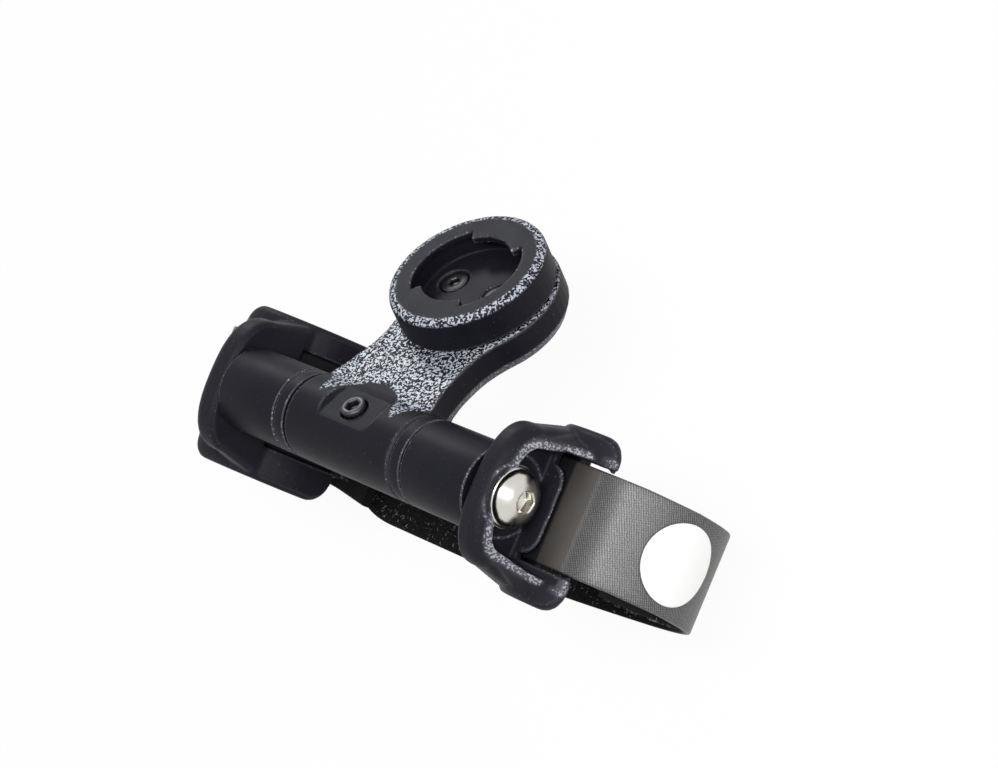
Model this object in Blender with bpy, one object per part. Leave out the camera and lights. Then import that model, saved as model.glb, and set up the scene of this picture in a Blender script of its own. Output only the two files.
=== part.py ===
"""Quarter-turn mount that bridges two parallel round seats.

Lengths are in millimetres and become metres when a mesh is made.
+X runs to the rider's right along the crossbar, +Y runs forward along the seats, +Z is up.
The origin lies midway between the two seat axes.
"""
import math

import bmesh
import bpy
from mathutils import Vector

MM = 0.001

# Fits
GAP = 0.3
THREAD_GAP = 0.3

# Seats: the round section that each saddle and strap closes on
SEAT_DIAMETER = 22.2
SEAT_SPACING = 77.6
CROSSBAR_RISE = 18.8

# Crossbar: a rod inside flush rings and sleeves
CROSSBAR_DIAMETER = 13.8
ROD_DIAMETER = 8.4
HUB_LENGTH = 25.2
RING_WIDTH = 2.2
SADDLE_FACE = 29.6
EDGE_BREAK = 0.35

# Arm: a flat neck from the hub to a round head
ARM_PITCH = 31.5
ARM_TOP = 5.2
ARM_THICKNESS = 6.0
ARM_LOWER_BEVEL = 1.9
ARM_BEVEL_INSET = 1.1
HEAD_REACH = 28.2
HEAD_RADIUS = 13.5
NECK_WAIST = 10.2
NECK_WAIST_AT = 15.0
ARM_FILLET = 4.0

# Cradle: the bolted quarter-turn socket on the head
CRADLE_RADIUS = 13.1
CRADLE_HEIGHT = 5.9
CRADLE_CHAMFER = 0.9
CRADLE_FLOOR = 1.7
SOCKET_RADIUS = 9.4
LIP_RADIUS = 7.5
LIP_THICKNESS = 1.3
LIP_HALF_ANGLE = 38.0
SPIGOT_RADIUS = 8.0
SPIGOT_DEPTH = 1.4
CRADLE_SCREW_OFFSET = 5.0
CRADLE_SCREW_RADIUS = 1.25
CRADLE_SCREW_HEAD = 2.3
CRADLE_SCREW_LENGTH = 6.4
CRADLE_SCREW_DRIVE = 0.85

# Clamp screw: it locks the hub on the rod
CLAMP_RADIUS = 2.0
CLAMP_LENGTH = 2.4
CLAMP_SOCKET = 2.0
POCKET_RADIUS = 6.0
POCKET_FLOOR = 6.1

# Saddle: a shell on the seat with a hood that holds the end bolt
PAD_THICKNESS = 0.8
SHELL_THICKNESS = 2.0
SADDLE_HALF_LENGTH = 13.5
SHELL_INBOARD = -93.0
SHELL_OUTBOARD = 22.0
SHELL_CORNER = 3.5
SHELL_BREAK = 0.7
HOOD_HALF_WIDTH = 11.3
HOOD_TOP = 25.2
HOOD_FOOT = 8.2
WALL_THICKNESS = 2.1
COUNTERBORE_DEPTH = 0.4
RIM_PLANE = 34.2
RIM_THICKNESS = 1.9
RIM_SPREAD = 0.8
DISH_RADIUS = 6.4
HOOD_END = 41.6
LIP_TOP = 13.7
LIP_REACH = -2.6
LIP_CORNER = 3.2
LIP_CORNER_HALF = 7.0

# End bolt: M5 button head on a thin washer
BOLT_RADIUS = 2.5
BOLT_HEAD_RADIUS = 4.75
BOLT_HEAD_HEIGHT = 2.75
BOLT_CROWN_ANGLE = 66.0
BOLT_SOCKET = 3.0
BOLT_LENGTH = 14.0
THREAD_DEPTH = 12.5
WASHER_RADIUS = 5.0
WASHER_THICKNESS = 0.7

# Strap: one long band, wound almost twice round its seat
STRAP_WIDTH = 16.0
STRAP_THICKNESS = 1.6
STRAP_OFFSET = 0.6
STRAP_START = 42.0
SLOT_SIDE_GAP = 0.4
SLOT_TURNS = (250.0, 390.0)
PAD_SLOT_TURNS = (325.0, 395.0)
SLOT_STEP = 5.0
MOUTH_MARGIN = 0.15
SLOT_GAP = 0.35
LAYER_GAP = 0.25
WRAP_END_RIGHT = 540.0
WRAP_END_LEFT = 572.0
TAIL_END = -32.5
TAIL_DRIFT = -2.2
TAIL_DRIFT_SHARE = 0.6
TAIL_DROOP = 2.6
TAIL_CORNER = 9.5
TAIL_CORNER_DEPTH = 3.2
DOT_RADIUS = 6.25
DOT_THICKNESS = 0.3
DOT_ANGLE = 78.7
DOT_OFFSET = 0.2

# The band's middle drifts back along the seat as it goes down outside: (turn, place along Y)
STRAP_DRIFT = (
    (405.0, STRAP_OFFSET), (440.0, 0.27), (457.0, -0.07),
    (480.0, -0.5), (540.0, -1.9), (572.0, -2.4),
)

# Sizes that follow from the ones above
SEAT_RADIUS = SEAT_DIAMETER / 2
SEAT_X = SEAT_SPACING / 2
TUBE_RADIUS = CROSSBAR_DIAMETER / 2
ROD_RADIUS = ROD_DIAMETER / 2
BORE_RADIUS = ROD_RADIUS + GAP
SLEEVE_END = SADDLE_FACE - GAP
PAD_OUTER = SEAT_RADIUS + PAD_THICKNESS
SHELL_INNER = PAD_OUTER + GAP
SHELL_OUTER = SHELL_INNER + SHELL_THICKNESS
BOLT_SEAT = SADDLE_FACE + WALL_THICKNESS
RECESS_FLOOR = BOLT_SEAT + COUNTERBORE_DEPTH
WASHER_FACE = BOLT_SEAT + GAP + WASHER_THICKNESS
BOLT_FACE = WASHER_FACE + GAP
INNER_LAYER = SEAT_RADIUS + GAP + STRAP_THICKNESS / 2
OUTER_LAYER = INNER_LAYER + STRAP_THICKNESS + LAYER_GAP
TONGUE_OUTER = SHELL_INNER + 1.1
TONGUE_LAYER = TONGUE_OUTER + GAP + STRAP_THICKNESS / 2
CRADLE_FOOT = ARM_TOP + GAP
CRADLE_TOP = CRADLE_FOOT + CRADLE_HEIGHT
SOCKET_FLOOR = CRADLE_FOOT + CRADLE_FLOOR
ROUND_STEPS = 40

PITCH = math.radians(ARM_PITCH)
HUB_POINT = Vector((0, 0, CROSSBAR_RISE))
ALONG_X = Vector((1, 0, 0))
ALONG_Y = Vector((0, 1, 0))
ARM_OUT = Vector((0, math.cos(PITCH), -math.sin(PITCH)))
ARM_UP = Vector((0, math.sin(PITCH), math.cos(PITCH)))
HEAD_POINT = HUB_POINT + HEAD_REACH * ARM_OUT

LOOKS = {
    "nylon": ((0.012, 0.012, 0.016), 0.62, 0.0),
    "nylon_grain": ((0.016, 0.016, 0.020), 0.70, 0.0),
    "rubber": ((0.010, 0.010, 0.010), 0.85, 0.0),
    "stainless": ((0.62, 0.60, 0.56), 0.22, 1.0),
    "dark_steel": ((0.05, 0.05, 0.055), 0.40, 1.0),
    "aluminium": ((0.45, 0.46, 0.48), 0.35, 1.0),
    "webbing": ((0.020, 0.020, 0.022), 0.80, 0.0),
    "white_film": ((0.85, 0.85, 0.84), 0.45, 0.0),
}


def material(look):
    """Return the Principled material of one look, made once."""
    found = bpy.data.materials.get(look)
    if found:
        return found
    colour, roughness, metallic = LOOKS[look]
    made = bpy.data.materials.new(look)
    made.use_nodes = True
    shader = made.node_tree.nodes["Principled BSDF"]
    shader.inputs["Base Color"].default_value = (*colour, 1)
    shader.inputs["Roughness"].default_value = roughness
    shader.inputs["Metallic"].default_value = metallic
    return made


def hub(name, point):
    """An empty on a joint axis, which its moving pieces are parented to."""
    empty = bpy.data.objects.new(name, None)
    empty.location = Vector(point) * MM
    empty.empty_display_size = 0.005
    bpy.context.collection.objects.link(empty)
    return empty


def is_twisted(face):
    """Say whether a four-sided face is out of plane by a thousandth of a millimetre or more."""
    if len(face.verts) != 4:
        return False
    a, b, c, d = (vert.co for vert in face.verts)
    across = (b - a).cross(c - a)
    return across.length > 0 and abs((d - a).dot(across.normalized())) > 0.001


def put(name, mesh_data, look=None, parent=None):
    """Make an object of a bmesh in millimetres; without a look it is a cutter."""
    bmesh.ops.recalc_face_normals(mesh_data, faces=mesh_data.faces)
    bmesh.ops.triangulate(mesh_data, faces=[face for face in mesh_data.faces if is_twisted(face)])
    centre = parent.location if parent else Vector((0, 0, 0))
    for vert in mesh_data.verts:
        vert.co = vert.co * MM - centre
    mesh = bpy.data.meshes.new(name)
    mesh_data.to_mesh(mesh)
    mesh_data.free()
    piece = bpy.data.objects.new(name, mesh)
    bpy.context.collection.objects.link(piece)
    piece.parent = parent
    if look:
        mesh.materials.append(material(look))
        mesh.shade_smooth()
        mesh.set_sharp_from_angle(angle=math.radians(32))
    else:
        piece.hide_render = True
        piece.display_type = "WIRE"
    return piece


def boolean(target, tool, operation):
    """Cut, join or intersect with another object, exactly."""
    step = target.modifiers.new(operation.lower(), "BOOLEAN")
    step.operation = operation
    step.solver = "EXACT"
    step.object = tool


def lofted(sections, closed=False):
    """Skin rings of points; closed joins the last ring to the first, else both ends are capped."""
    made = bmesh.new()
    rings = [[made.verts.new(point) for point in section] for section in sections]
    count = len(rings[0])
    pairs = list(zip(rings, rings[1:]))
    if closed:
        pairs.append((rings[-1], rings[0]))
    for first, second in pairs:
        for i in range(count):
            j = (i + 1) % count
            made.faces.new((first[i], first[j], second[j], second[i]))
    if not closed:
        made.faces.new(rings[0])
        made.faces.new(reversed(rings[-1]))
    return made


def turned(profile, centre=HUB_POINT, axis=ALONG_X, steps=ROUND_STEPS):
    """Turn a closed profile of (along, radius) points about an axis; it stays off the axis."""
    side = axis.orthogonal().normalized()
    other = axis.cross(side)
    rings = []
    for i in range(steps):
        angle = 2 * math.pi * i / steps
        outward = math.cos(angle) * side + math.sin(angle) * other
        rings.append([centre + axis * along + outward * radius for along, radius in profile])
    return lofted(rings, closed=True)


def rod(radius, low, high, centre=HUB_POINT, axis=ALONG_X, steps=ROUND_STEPS, sides=None):
    """A solid round or many-sided bar between two distances along its axis."""
    side = axis.orthogonal().normalized()
    other = axis.cross(side)
    count = sides or steps
    rings = []
    for along in (low, high):
        ring = []
        for i in range(count):
            angle = 2 * math.pi * i / count
            outward = math.cos(angle) * side + math.sin(angle) * other
            ring.append(centre + axis * along + outward * radius)
        rings.append(ring)
    return lofted(rings)


def stepped_rod(profile, centre, axis, steps=ROUND_STEPS):
    """A solid turned bar: rings at (along, radius), capped at both ends."""
    side = axis.orthogonal().normalized()
    other = axis.cross(side)
    rings = []
    for along, radius in profile:
        ring = []
        for i in range(steps):
            angle = 2 * math.pi * i / steps
            outward = math.cos(angle) * side + math.sin(angle) * other
            ring.append(centre + axis * along + outward * radius)
        rings.append(ring)
    return lofted(rings)


def block(low, high):
    """A box between two corners."""
    x0, y0, z0 = low
    x1, y1, z1 = high
    floor = [(x0, y0), (x1, y0), (x1, y1), (x0, y1)]
    return lofted([[(x, y, z) for x, y in floor] for z in (z0, z1)])


def arc_points(centre, radius, start, end, count):
    """Points on a circle in a plane, from one angle in radians to another."""
    points = []
    for i in range(count + 1):
        angle = start + (end - start) * i / count
        points.append((centre[0] + radius * math.cos(angle), centre[1] + radius * math.sin(angle)))
    return points


def mirrored(made, side):
    """Flip a mesh drawn for the right side over to the left."""
    if side < 0:
        for vert in made.verts:
            vert.co.x = -vert.co.x
    return made


def chamfered_sleeve(low, high, inner, outer):
    """Profile of a ring with broken outer edges."""
    return [
        (low, inner),
        (low, outer - EDGE_BREAK),
        (low + EDGE_BREAK, outer),
        (high - EDGE_BREAK, outer),
        (high, outer - EDGE_BREAK),
        (high, inner),
    ]


def build_crossbar():
    """The rod with its two tapped ends, then the rings and sleeves threaded on it."""
    core = put("core_rod", rod(ROD_RADIUS, -SLEEVE_END, SLEEVE_END), "aluminium")
    for side, name in ((1, "right"), (-1, "left")):
        bore = rod(BOLT_RADIUS + THREAD_GAP, SLEEVE_END - THREAD_DEPTH, SLEEVE_END + 1)
        boolean(core, put("thread_cut_" + name, mirrored(bore, side)), "DIFFERENCE")
        ring_low = HUB_LENGTH / 2 + GAP
        ring_high = ring_low + RING_WIDTH
        ring = turned(chamfered_sleeve(ring_low, ring_high, BORE_RADIUS, TUBE_RADIUS))
        put("friction_ring_" + name, mirrored(ring, side), "rubber")
        sleeve = turned(chamfered_sleeve(ring_high + GAP, SLEEVE_END, BORE_RADIUS, TUBE_RADIUS))
        put("sleeve_" + name, mirrored(sleeve, side), "nylon")


def on_arm(x, reach, height):
    """A point given across, out along and up from the arm's own axes."""
    return HUB_POINT + Vector((x, 0, 0)) + reach * ARM_OUT + height * ARM_UP


def arm_outline(inset):
    """Plan of the neck and head, as (across, reach) points, drawn in by an inset."""
    waist = NECK_WAIST - inset
    head = HEAD_RADIUS - inset
    rise = HEAD_REACH - NECK_WAIST_AT
    flare = (waist ** 2 + rise ** 2 - head ** 2) / (2 * (head - waist))
    to_head = math.atan2(rise, -(waist + flare))
    hub_half = HUB_LENGTH / 2 - EDGE_BREAK - inset
    fall = NECK_WAIST_AT - math.sqrt(TUBE_RADIUS ** 2 - ARM_TOP ** 2)
    foot = (fall ** 2 + (hub_half - waist) ** 2) / (2 * (hub_half - waist))
    to_hub = math.pi + math.asin(fall / foot)
    right = arc_points((waist + foot, NECK_WAIST_AT), foot, to_hub, math.pi, 6)
    right += arc_points((waist + flare, NECK_WAIST_AT), flare, math.pi, to_head, 8)[1:]
    start = to_head - math.pi
    crown = arc_points((0, HEAD_REACH), head, start, math.pi - start, 30)
    left = [(-x, reach) for x, reach in reversed(right)]
    return [(hub_half, 0)] + right + crown[1:-1] + left + [(-hub_half, 0)]


def fillet_outline():
    """Section of the two fillets that blend the neck into the hub, as (reach, height)."""
    bottom = ARM_TOP - ARM_THICKNESS
    radius = ARM_FILLET
    reach_top = math.sqrt((TUBE_RADIUS + radius) ** 2 - (ARM_TOP + radius) ** 2)
    reach_low = math.sqrt((TUBE_RADIUS + radius) ** 2 - (radius - bottom) ** 2)
    lean_top = math.atan2(ARM_TOP + radius, reach_top)
    lean_low = math.atan2(radius - bottom, reach_low)
    upper = arc_points((reach_top, ARM_TOP + radius), radius, lean_top + math.pi, 1.5 * math.pi, 5)
    lower = arc_points((reach_low, bottom - radius), radius, 0.5 * math.pi, math.pi - lean_low, 5)
    beyond = [(reach_low + 1, ARM_TOP), (reach_low + 1, bottom)]
    return [(0, 0)] + upper + beyond + lower


def build_arm(tilt):
    """Hub, neck and head in one piece, bored for the rod and sunk for the cradle."""
    half = HUB_LENGTH / 2
    shell = chamfered_sleeve(-half, half, BORE_RADIUS, TUBE_RADIUS)
    arm = put("arm_body", turned(shell), "nylon_grain", tilt)
    bottom = ARM_TOP - ARM_THICKNESS
    levels = ((bottom, ARM_BEVEL_INSET), (bottom + ARM_LOWER_BEVEL, 0), (ARM_TOP, 0))
    plate = lofted([[on_arm(x, s, h) for x, s in arm_outline(inset)] for h, inset in levels])
    boolean(arm, put("neck_join", plate), "UNION")
    fillet_half = NECK_WAIST + 0.6
    fillet = lofted([[on_arm(x, s, h) for s, h in fillet_outline()] for x in (-fillet_half, fillet_half)])
    boolean(arm, put("fillet_join", fillet), "UNION")
    boolean(arm, put("rod_cut", rod(BORE_RADIUS, -half - 1, half + 1)), "DIFFERENCE")
    pocket = rod(POCKET_RADIUS, POCKET_FLOOR, 2 * TUBE_RADIUS, axis=ARM_UP)
    boolean(arm, put("pocket_cut", pocket), "DIFFERENCE")
    screw_hole = rod(CLAMP_RADIUS + THREAD_GAP, ROD_RADIUS, POCKET_FLOOR + 1, axis=ARM_UP, steps=24)
    boolean(arm, put("clamp_hole_cut", screw_hole), "DIFFERENCE")
    recess = rod(SPIGOT_RADIUS + GAP, ARM_TOP - SPIGOT_DEPTH - GAP, ARM_TOP + 1, HEAD_POINT, ARM_UP)
    boolean(arm, put("spigot_cut", recess), "DIFFERENCE")
    for side, name in ((1, "right"), (-1, "left")):
        foot = SOCKET_FLOOR - CRADLE_SCREW_LENGTH - GAP
        centre = HEAD_POINT + side * CRADLE_SCREW_OFFSET * ALONG_X
        pilot = rod(CRADLE_SCREW_RADIUS + THREAD_GAP, foot, ARM_TOP + 1, centre, ARM_UP, steps=20)
        boolean(arm, put("pilot_cut_" + name, pilot), "DIFFERENCE")


def sector(inner, outer, half_angle, middle, low, high, centre, steps=10):
    """A ring segment across the head, between two heights."""
    start = math.radians(middle - half_angle)
    end = math.radians(middle + half_angle)
    outline = arc_points((0, 0), outer, start, end, steps) + arc_points((0, 0), inner, end, start, steps)
    return lofted([[centre + x * ALONG_X + s * ARM_OUT + h * ARM_UP for x, s in outline] for h in (low, high)])


def build_cradle(tilt):
    """The quarter-turn socket: two lips over an undercut ring, a floor and a spigot below."""
    profile = [
        (CRADLE_FOOT - SPIGOT_DEPTH, SPIGOT_RADIUS - EDGE_BREAK),
        (CRADLE_FOOT - SPIGOT_DEPTH + EDGE_BREAK, SPIGOT_RADIUS),
        (CRADLE_FOOT, SPIGOT_RADIUS),
        (CRADLE_FOOT, CRADLE_RADIUS - EDGE_BREAK),
        (CRADLE_FOOT + EDGE_BREAK, CRADLE_RADIUS),
        (CRADLE_TOP - CRADLE_CHAMFER, CRADLE_RADIUS),
        (CRADLE_TOP - 0.3 * CRADLE_CHAMFER, CRADLE_RADIUS - 0.3 * CRADLE_CHAMFER),
        (CRADLE_TOP, CRADLE_RADIUS - CRADLE_CHAMFER),
    ]
    cradle = put("cradle_socket", stepped_rod(profile, HEAD_POINT, ARM_UP, 64), "nylon", tilt)
    undercut = rod(SOCKET_RADIUS, SOCKET_FLOOR, CRADLE_TOP - LIP_THICKNESS, HEAD_POINT, ARM_UP)
    boolean(cradle, put("undercut_cut", undercut), "DIFFERENCE")
    mouth = rod(LIP_RADIUS, SOCKET_FLOOR + 1, CRADLE_TOP + 1, HEAD_POINT, ARM_UP)
    boolean(cradle, put("mouth_cut", mouth), "DIFFERENCE")
    for middle, name in ((0, "right"), (180, "left")):
        notch = sector(LIP_RADIUS - 1, SOCKET_RADIUS - 0.2, 90 - LIP_HALF_ANGLE, middle,
                       SOCKET_FLOOR + 1, CRADLE_TOP + 1, HEAD_POINT, 14)
        boolean(cradle, put("notch_cut_" + name, notch), "DIFFERENCE")
    foot = SOCKET_FLOOR - CRADLE_SCREW_LENGTH
    top = SOCKET_FLOOR - 0.1
    rim = top - 0.3
    neck = rim - (CRADLE_SCREW_HEAD - CRADLE_SCREW_RADIUS)
    for side, name in ((1, "right"), (-1, "left")):
        centre = HEAD_POINT + side * CRADLE_SCREW_OFFSET * ALONG_X
        wide = CRADLE_SCREW_HEAD + GAP
        narrow = CRADLE_SCREW_RADIUS + GAP
        sink = stepped_rod([(foot, narrow), (neck, narrow), (rim, wide), (SOCKET_FLOOR + 1, wide)],
                           centre, ARM_UP, 24)
        boolean(cradle, put("screw_cut_" + name, sink), "DIFFERENCE")
        shape = stepped_rod([(foot, CRADLE_SCREW_RADIUS), (neck, CRADLE_SCREW_RADIUS),
                             (rim, CRADLE_SCREW_HEAD), (top, CRADLE_SCREW_HEAD)], centre, ARM_UP, 24)
        screw = put("cradle_screw_" + name, shape, "dark_steel", tilt)
        drive = rod(CRADLE_SCREW_DRIVE, top - 1.0, top + 1, centre, ARM_UP, sides=6)
        boolean(screw, put("drive_cut_" + name, drive), "DIFFERENCE")


def build_clamp(tilt):
    """The socket set screw in the hub's pocket, bearing on the rod."""
    low = ROD_RADIUS + GAP
    high = low + CLAMP_LENGTH
    shape = stepped_rod([(low, CLAMP_RADIUS - 0.5), (low + 0.5, CLAMP_RADIUS),
                         (high - 0.3, CLAMP_RADIUS), (high, CLAMP_RADIUS - 0.3)], HUB_POINT, ARM_UP, 24)
    screw = put("clamp_screw", shape, "dark_steel", tilt)
    across = CLAMP_SOCKET / math.sqrt(3)
    drive = rod(across, high - 1.3, high + 1, axis=ARM_UP, sides=6)
    boolean(screw, put("clamp_drive_cut", drive), "DIFFERENCE")


def on_seat(radius, degrees, y=0.0):
    """A point round the right seat: zero degrees is on top, positive is outboard."""
    angle = math.radians(degrees)
    return Vector((SEAT_X + radius * math.sin(angle), y, radius * math.cos(angle)))


def corner_stations(start, end, radius, corner, half):
    """Angles along a curved plate and its half-length there, with rounded plan corners."""
    length = math.radians(end - start) * radius
    stations = []
    for i in range(7):
        bend = math.radians(90 * i / 6)
        inward = corner * (1 - math.cos(bend))
        stations.append((inward, half - corner + corner * math.sin(bend)))
    count = 13
    spans = [(corner + (length - 2 * corner) * i / count, half) for i in range(1, count)]
    mirror = [(length - along, reach) for along, reach in reversed(stations)]
    return [(start + math.degrees(along / radius), reach) for along, reach in stations + spans + mirror]


def curved_plate(inner, outer, start, end, half, corner, edge):
    """A plate bent round the seat, with broken outer edges and rounded corners."""
    sections = []
    for degrees, reach in corner_stations(start, end, outer, corner, half):
        outline = [(-reach, inner), (-reach, outer - edge), (-reach + edge, outer),
                   (reach - edge, outer), (reach, outer - edge), (reach, inner)]
        sections.append([on_seat(radius, degrees, y) for y, radius in outline])
    return lofted(sections)


def hood_section(x, half, top, foot_half, bottom, waist=None):
    """One outline across the hood: a round crown on sides that spread to the foot."""
    crown = min(CROSSBAR_RISE - 0.6, top - 2.2) if waist is None else waist
    points = [(foot_half, bottom), (foot_half, bottom + 0.5 * (crown - bottom) - 1.0)]
    steps = 20
    for i in range(steps + 1):
        angle = math.pi * i / steps
        swell = 0.8
        across = math.copysign(abs(math.cos(angle)) ** swell, math.cos(angle))
        points.append((half * across, crown + (top - crown) * math.sin(angle) ** swell))
    points += [(-foot_half, bottom + 0.5 * (crown - bottom) - 1.0), (-foot_half, bottom)]
    return [Vector((x, y, z)) for y, z in points]


def strap_radius(degrees):
    """Distance of the band's middle from the seat axis, by angle from the inner end's turn."""
    stations = [
        (STRAP_START, INNER_LAYER),
        (238.0, INNER_LAYER),
        (360.0 + SHELL_INBOARD - 2.0, TONGUE_LAYER),
        (315.0, TONGUE_LAYER),
        (348.0, INNER_LAYER),
        (371.0, INNER_LAYER),
        (360.0 + STRAP_START - 4.0, OUTER_LAYER),
        (900.0, OUTER_LAYER),
    ]
    for (low, first), (high, second) in zip(stations, stations[1:]):
        if degrees <= high:
            share = (degrees - low) / (high - low)
            if low == 315.0:
                return first * second * math.sin(math.radians(high - low)) / (
                    first * math.sin(math.radians(degrees - low))
                    + second * math.sin(math.radians(high - degrees)))
            return first + (second - first) * (3 * share ** 2 - 2 * share ** 3)
    return OUTER_LAYER


def strap_shift(degrees):
    """Place of the band's middle along the seat, by angle from the inner end's turn."""
    low, first = 0.0, STRAP_OFFSET
    for high, second in STRAP_DRIFT:
        if degrees <= high:
            return first + (second - first) * (degrees - low) / (high - low)
        low, first = high, second
    return first


def strap_path(start, end, step=6.0):
    """Middle line of the band in the plane across the seat, as (x, z, y) points."""
    count = max(2, math.ceil((end - start) / step))
    points = []
    for i in range(count + 1):
        degrees = start + (end - start) * i / count
        place = on_seat(strap_radius(degrees), degrees)
        points.append((place.x, place.z, strap_shift(degrees)))
    return points


def tail_path():
    """The free end leaves the bottom of the wrap, drifts back a little and sinks."""
    run = SEAT_X - TAIL_END
    reaches = [run * share for share in (0.1, 0.25, 0.4, 0.55, 0.7)]
    halves = [STRAP_WIDTH / 2] * len(reaches)
    for i in range(7):
        bend = math.radians(15 * i)
        reaches.append(run - TAIL_CORNER * (1 - math.sin(bend)))
        halves.append(STRAP_WIDTH / 2 - TAIL_CORNER_DEPTH * (1 - math.cos(bend)))
    points = []
    for reach in reaches:
        share = reach / run
        sag = TAIL_DROOP * share ** 2
        lean = math.sin(math.pi / 2 * min(1, share / TAIL_DRIFT_SHARE))
        points.append((SEAT_X - reach, -OUTER_LAYER - sag, strap_shift(WRAP_END_RIGHT) + TAIL_DRIFT * lean))
    return points, halves


def ribbon(path, thickness, half_widths):
    """Sweep a flat band along a middle line; half_widths gives its reach in Y at each point."""
    sections = []
    last = len(path) - 1
    for i, (x, z, shift) in enumerate(path):
        before = path[max(0, i - 1)]
        after = path[min(last, i + 1)]
        run = Vector((after[0] - before[0], 0, after[1] - before[1])).normalized()
        out = Vector((-run.z, 0, run.x)) * thickness / 2
        half = half_widths[i]
        middle = Vector((x, 0, z))
        sections.append([
            middle + out + Vector((0, shift - half, 0)),
            middle + out + Vector((0, shift + half, 0)),
            middle - out + Vector((0, shift + half, 0)),
            middle - out + Vector((0, shift - half, 0)),
        ])
    return lofted(sections)


def lip_outline(mouth_half):
    """Plan of the opening in front of the lip, whose two corners are rounded back to the hood."""
    edge = SEAT_X + LIP_REACH
    far = SEAT_X + SHELL_OUTER
    flat = LIP_CORNER_HALF - LIP_CORNER
    corner = arc_points((edge - LIP_CORNER, flat), LIP_CORNER, 0.0, math.pi / 2, 7)
    opposite = [(x, -y) for x, y in reversed(corner)]
    start = edge - LIP_CORNER
    low = STRAP_OFFSET - mouth_half
    high = STRAP_OFFSET + mouth_half
    return [(start, low)] + opposite + corner + [(start, high), (far, high), (far, low)]


def build_saddle(side, name, swivel):
    """Shell, hood and bolt wall in one moulding, with the strap slot through its foot."""
    shell = curved_plate(SHELL_INNER - 0.6, SHELL_OUTER, SHELL_INBOARD, SHELL_OUTBOARD,
                         SADDLE_HALF_LENGTH, SHELL_CORNER, SHELL_BREAK)
    saddle = put("saddle_" + name, mirrored(shell, side), "nylon", swivel)
    half = HOOD_HALF_WIDTH
    foot = SADDLE_HALF_LENGTH - 0.8
    low = HOOD_FOOT
    sections = [
        hood_section(SADDLE_FACE, half - 0.8, HOOD_TOP - 0.7, foot - 0.8, low),
        hood_section(SADDLE_FACE + 0.7, half, HOOD_TOP - 0.1, foot, low),
        hood_section(RIM_PLANE - 1.6, half, HOOD_TOP, foot, low),
        hood_section(RIM_PLANE - 0.6, half - 0.4, HOOD_TOP - 0.3, foot, low),
        hood_section(RIM_PLANE, half - 1.3, HOOD_TOP - 1.1, foot, low),
        hood_section(RIM_PLANE + 1.1, half - 1.2, HOOD_TOP - 4.2, foot, low),
        hood_section(RIM_PLANE + 2.4, half - 1.0, HOOD_TOP - 6.9, foot, low),
        hood_section(RIM_PLANE + 4.0, half - 0.5, HOOD_TOP - 8.8, foot, low),
        hood_section(HOOD_END - 1.4, half, HOOD_TOP - 10.2, foot - 0.4, low),
        hood_section(HOOD_END, half - 0.6, HOOD_TOP - 10.9, foot - 1.6, low),
    ]
    boolean(saddle, put("hood_join_" + name, mirrored(lofted(sections), side)), "UNION")
    inner = half - 1.3 - RIM_THICKNESS
    spread = inner + RIM_SPREAD
    crest = HOOD_TOP - 1.1 - RIM_THICKNESS
    recess = lofted([
        hood_section(RECESS_FLOOR, inner - 0.6, crest - 0.6, spread - 0.6, LIP_TOP, CROSSBAR_RISE),
        hood_section(RIM_PLANE + 0.1, inner, crest, spread, LIP_TOP, CROSSBAR_RISE),
        hood_section(SEAT_X + 12, inner + 1.2, crest + 6, spread + 1.2, LIP_TOP, CROSSBAR_RISE),
    ])
    boolean(saddle, put("recess_cut_" + name, mirrored(recess, side)), "DIFFERENCE")
    hole = BOLT_RADIUS + GAP
    sink = WASHER_RADIUS + GAP
    dish = [(BOLT_SEAT, sink), (RECESS_FLOOR, DISH_RADIUS), (RECESS_FLOOR + 0.1, sink), (BOLT_SEAT + 8, sink)]
    bore = stepped_rod([(SADDLE_FACE - 1, hole), (BOLT_SEAT, hole)] + dish, HUB_POINT, ALONG_X, 40)
    boolean(saddle, put("bolt_cut_" + name, mirrored(bore, side)), "DIFFERENCE")
    slot_half = STRAP_WIDTH / 2 + SLOT_SIDE_GAP
    mouth_half = slot_half + MOUTH_MARGIN
    mouth = block((SEAT_X + LIP_REACH, STRAP_OFFSET - mouth_half, LIP_TOP),
                  (SEAT_X + SHELL_OUTER, STRAP_OFFSET + mouth_half, HOOD_TOP))
    boolean(saddle, put("mouth_cut_" + name, mirrored(mouth, side)), "DIFFERENCE")
    lip = lofted([[(x, y, z) for x, y in lip_outline(mouth_half)] for z in (0, LIP_TOP + 0.3)])
    boolean(saddle, put("lip_cut_" + name, mirrored(lip, side)), "DIFFERENCE")
    path = strap_path(*SLOT_TURNS, SLOT_STEP)
    slot = ribbon(path, STRAP_THICKNESS + 2 * SLOT_GAP, [slot_half] * len(path))
    boolean(saddle, put("slot_cut_" + name, mirrored(slot, side)), "DIFFERENCE")
    reach = 2 * SADDLE_HALF_LENGTH
    seat = rod(SHELL_INNER, -reach, reach, Vector((SEAT_X, 0, 0)), ALONG_Y, steps=72)
    boolean(saddle, put("seat_cut_" + name, mirrored(seat, side)), "DIFFERENCE")


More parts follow.
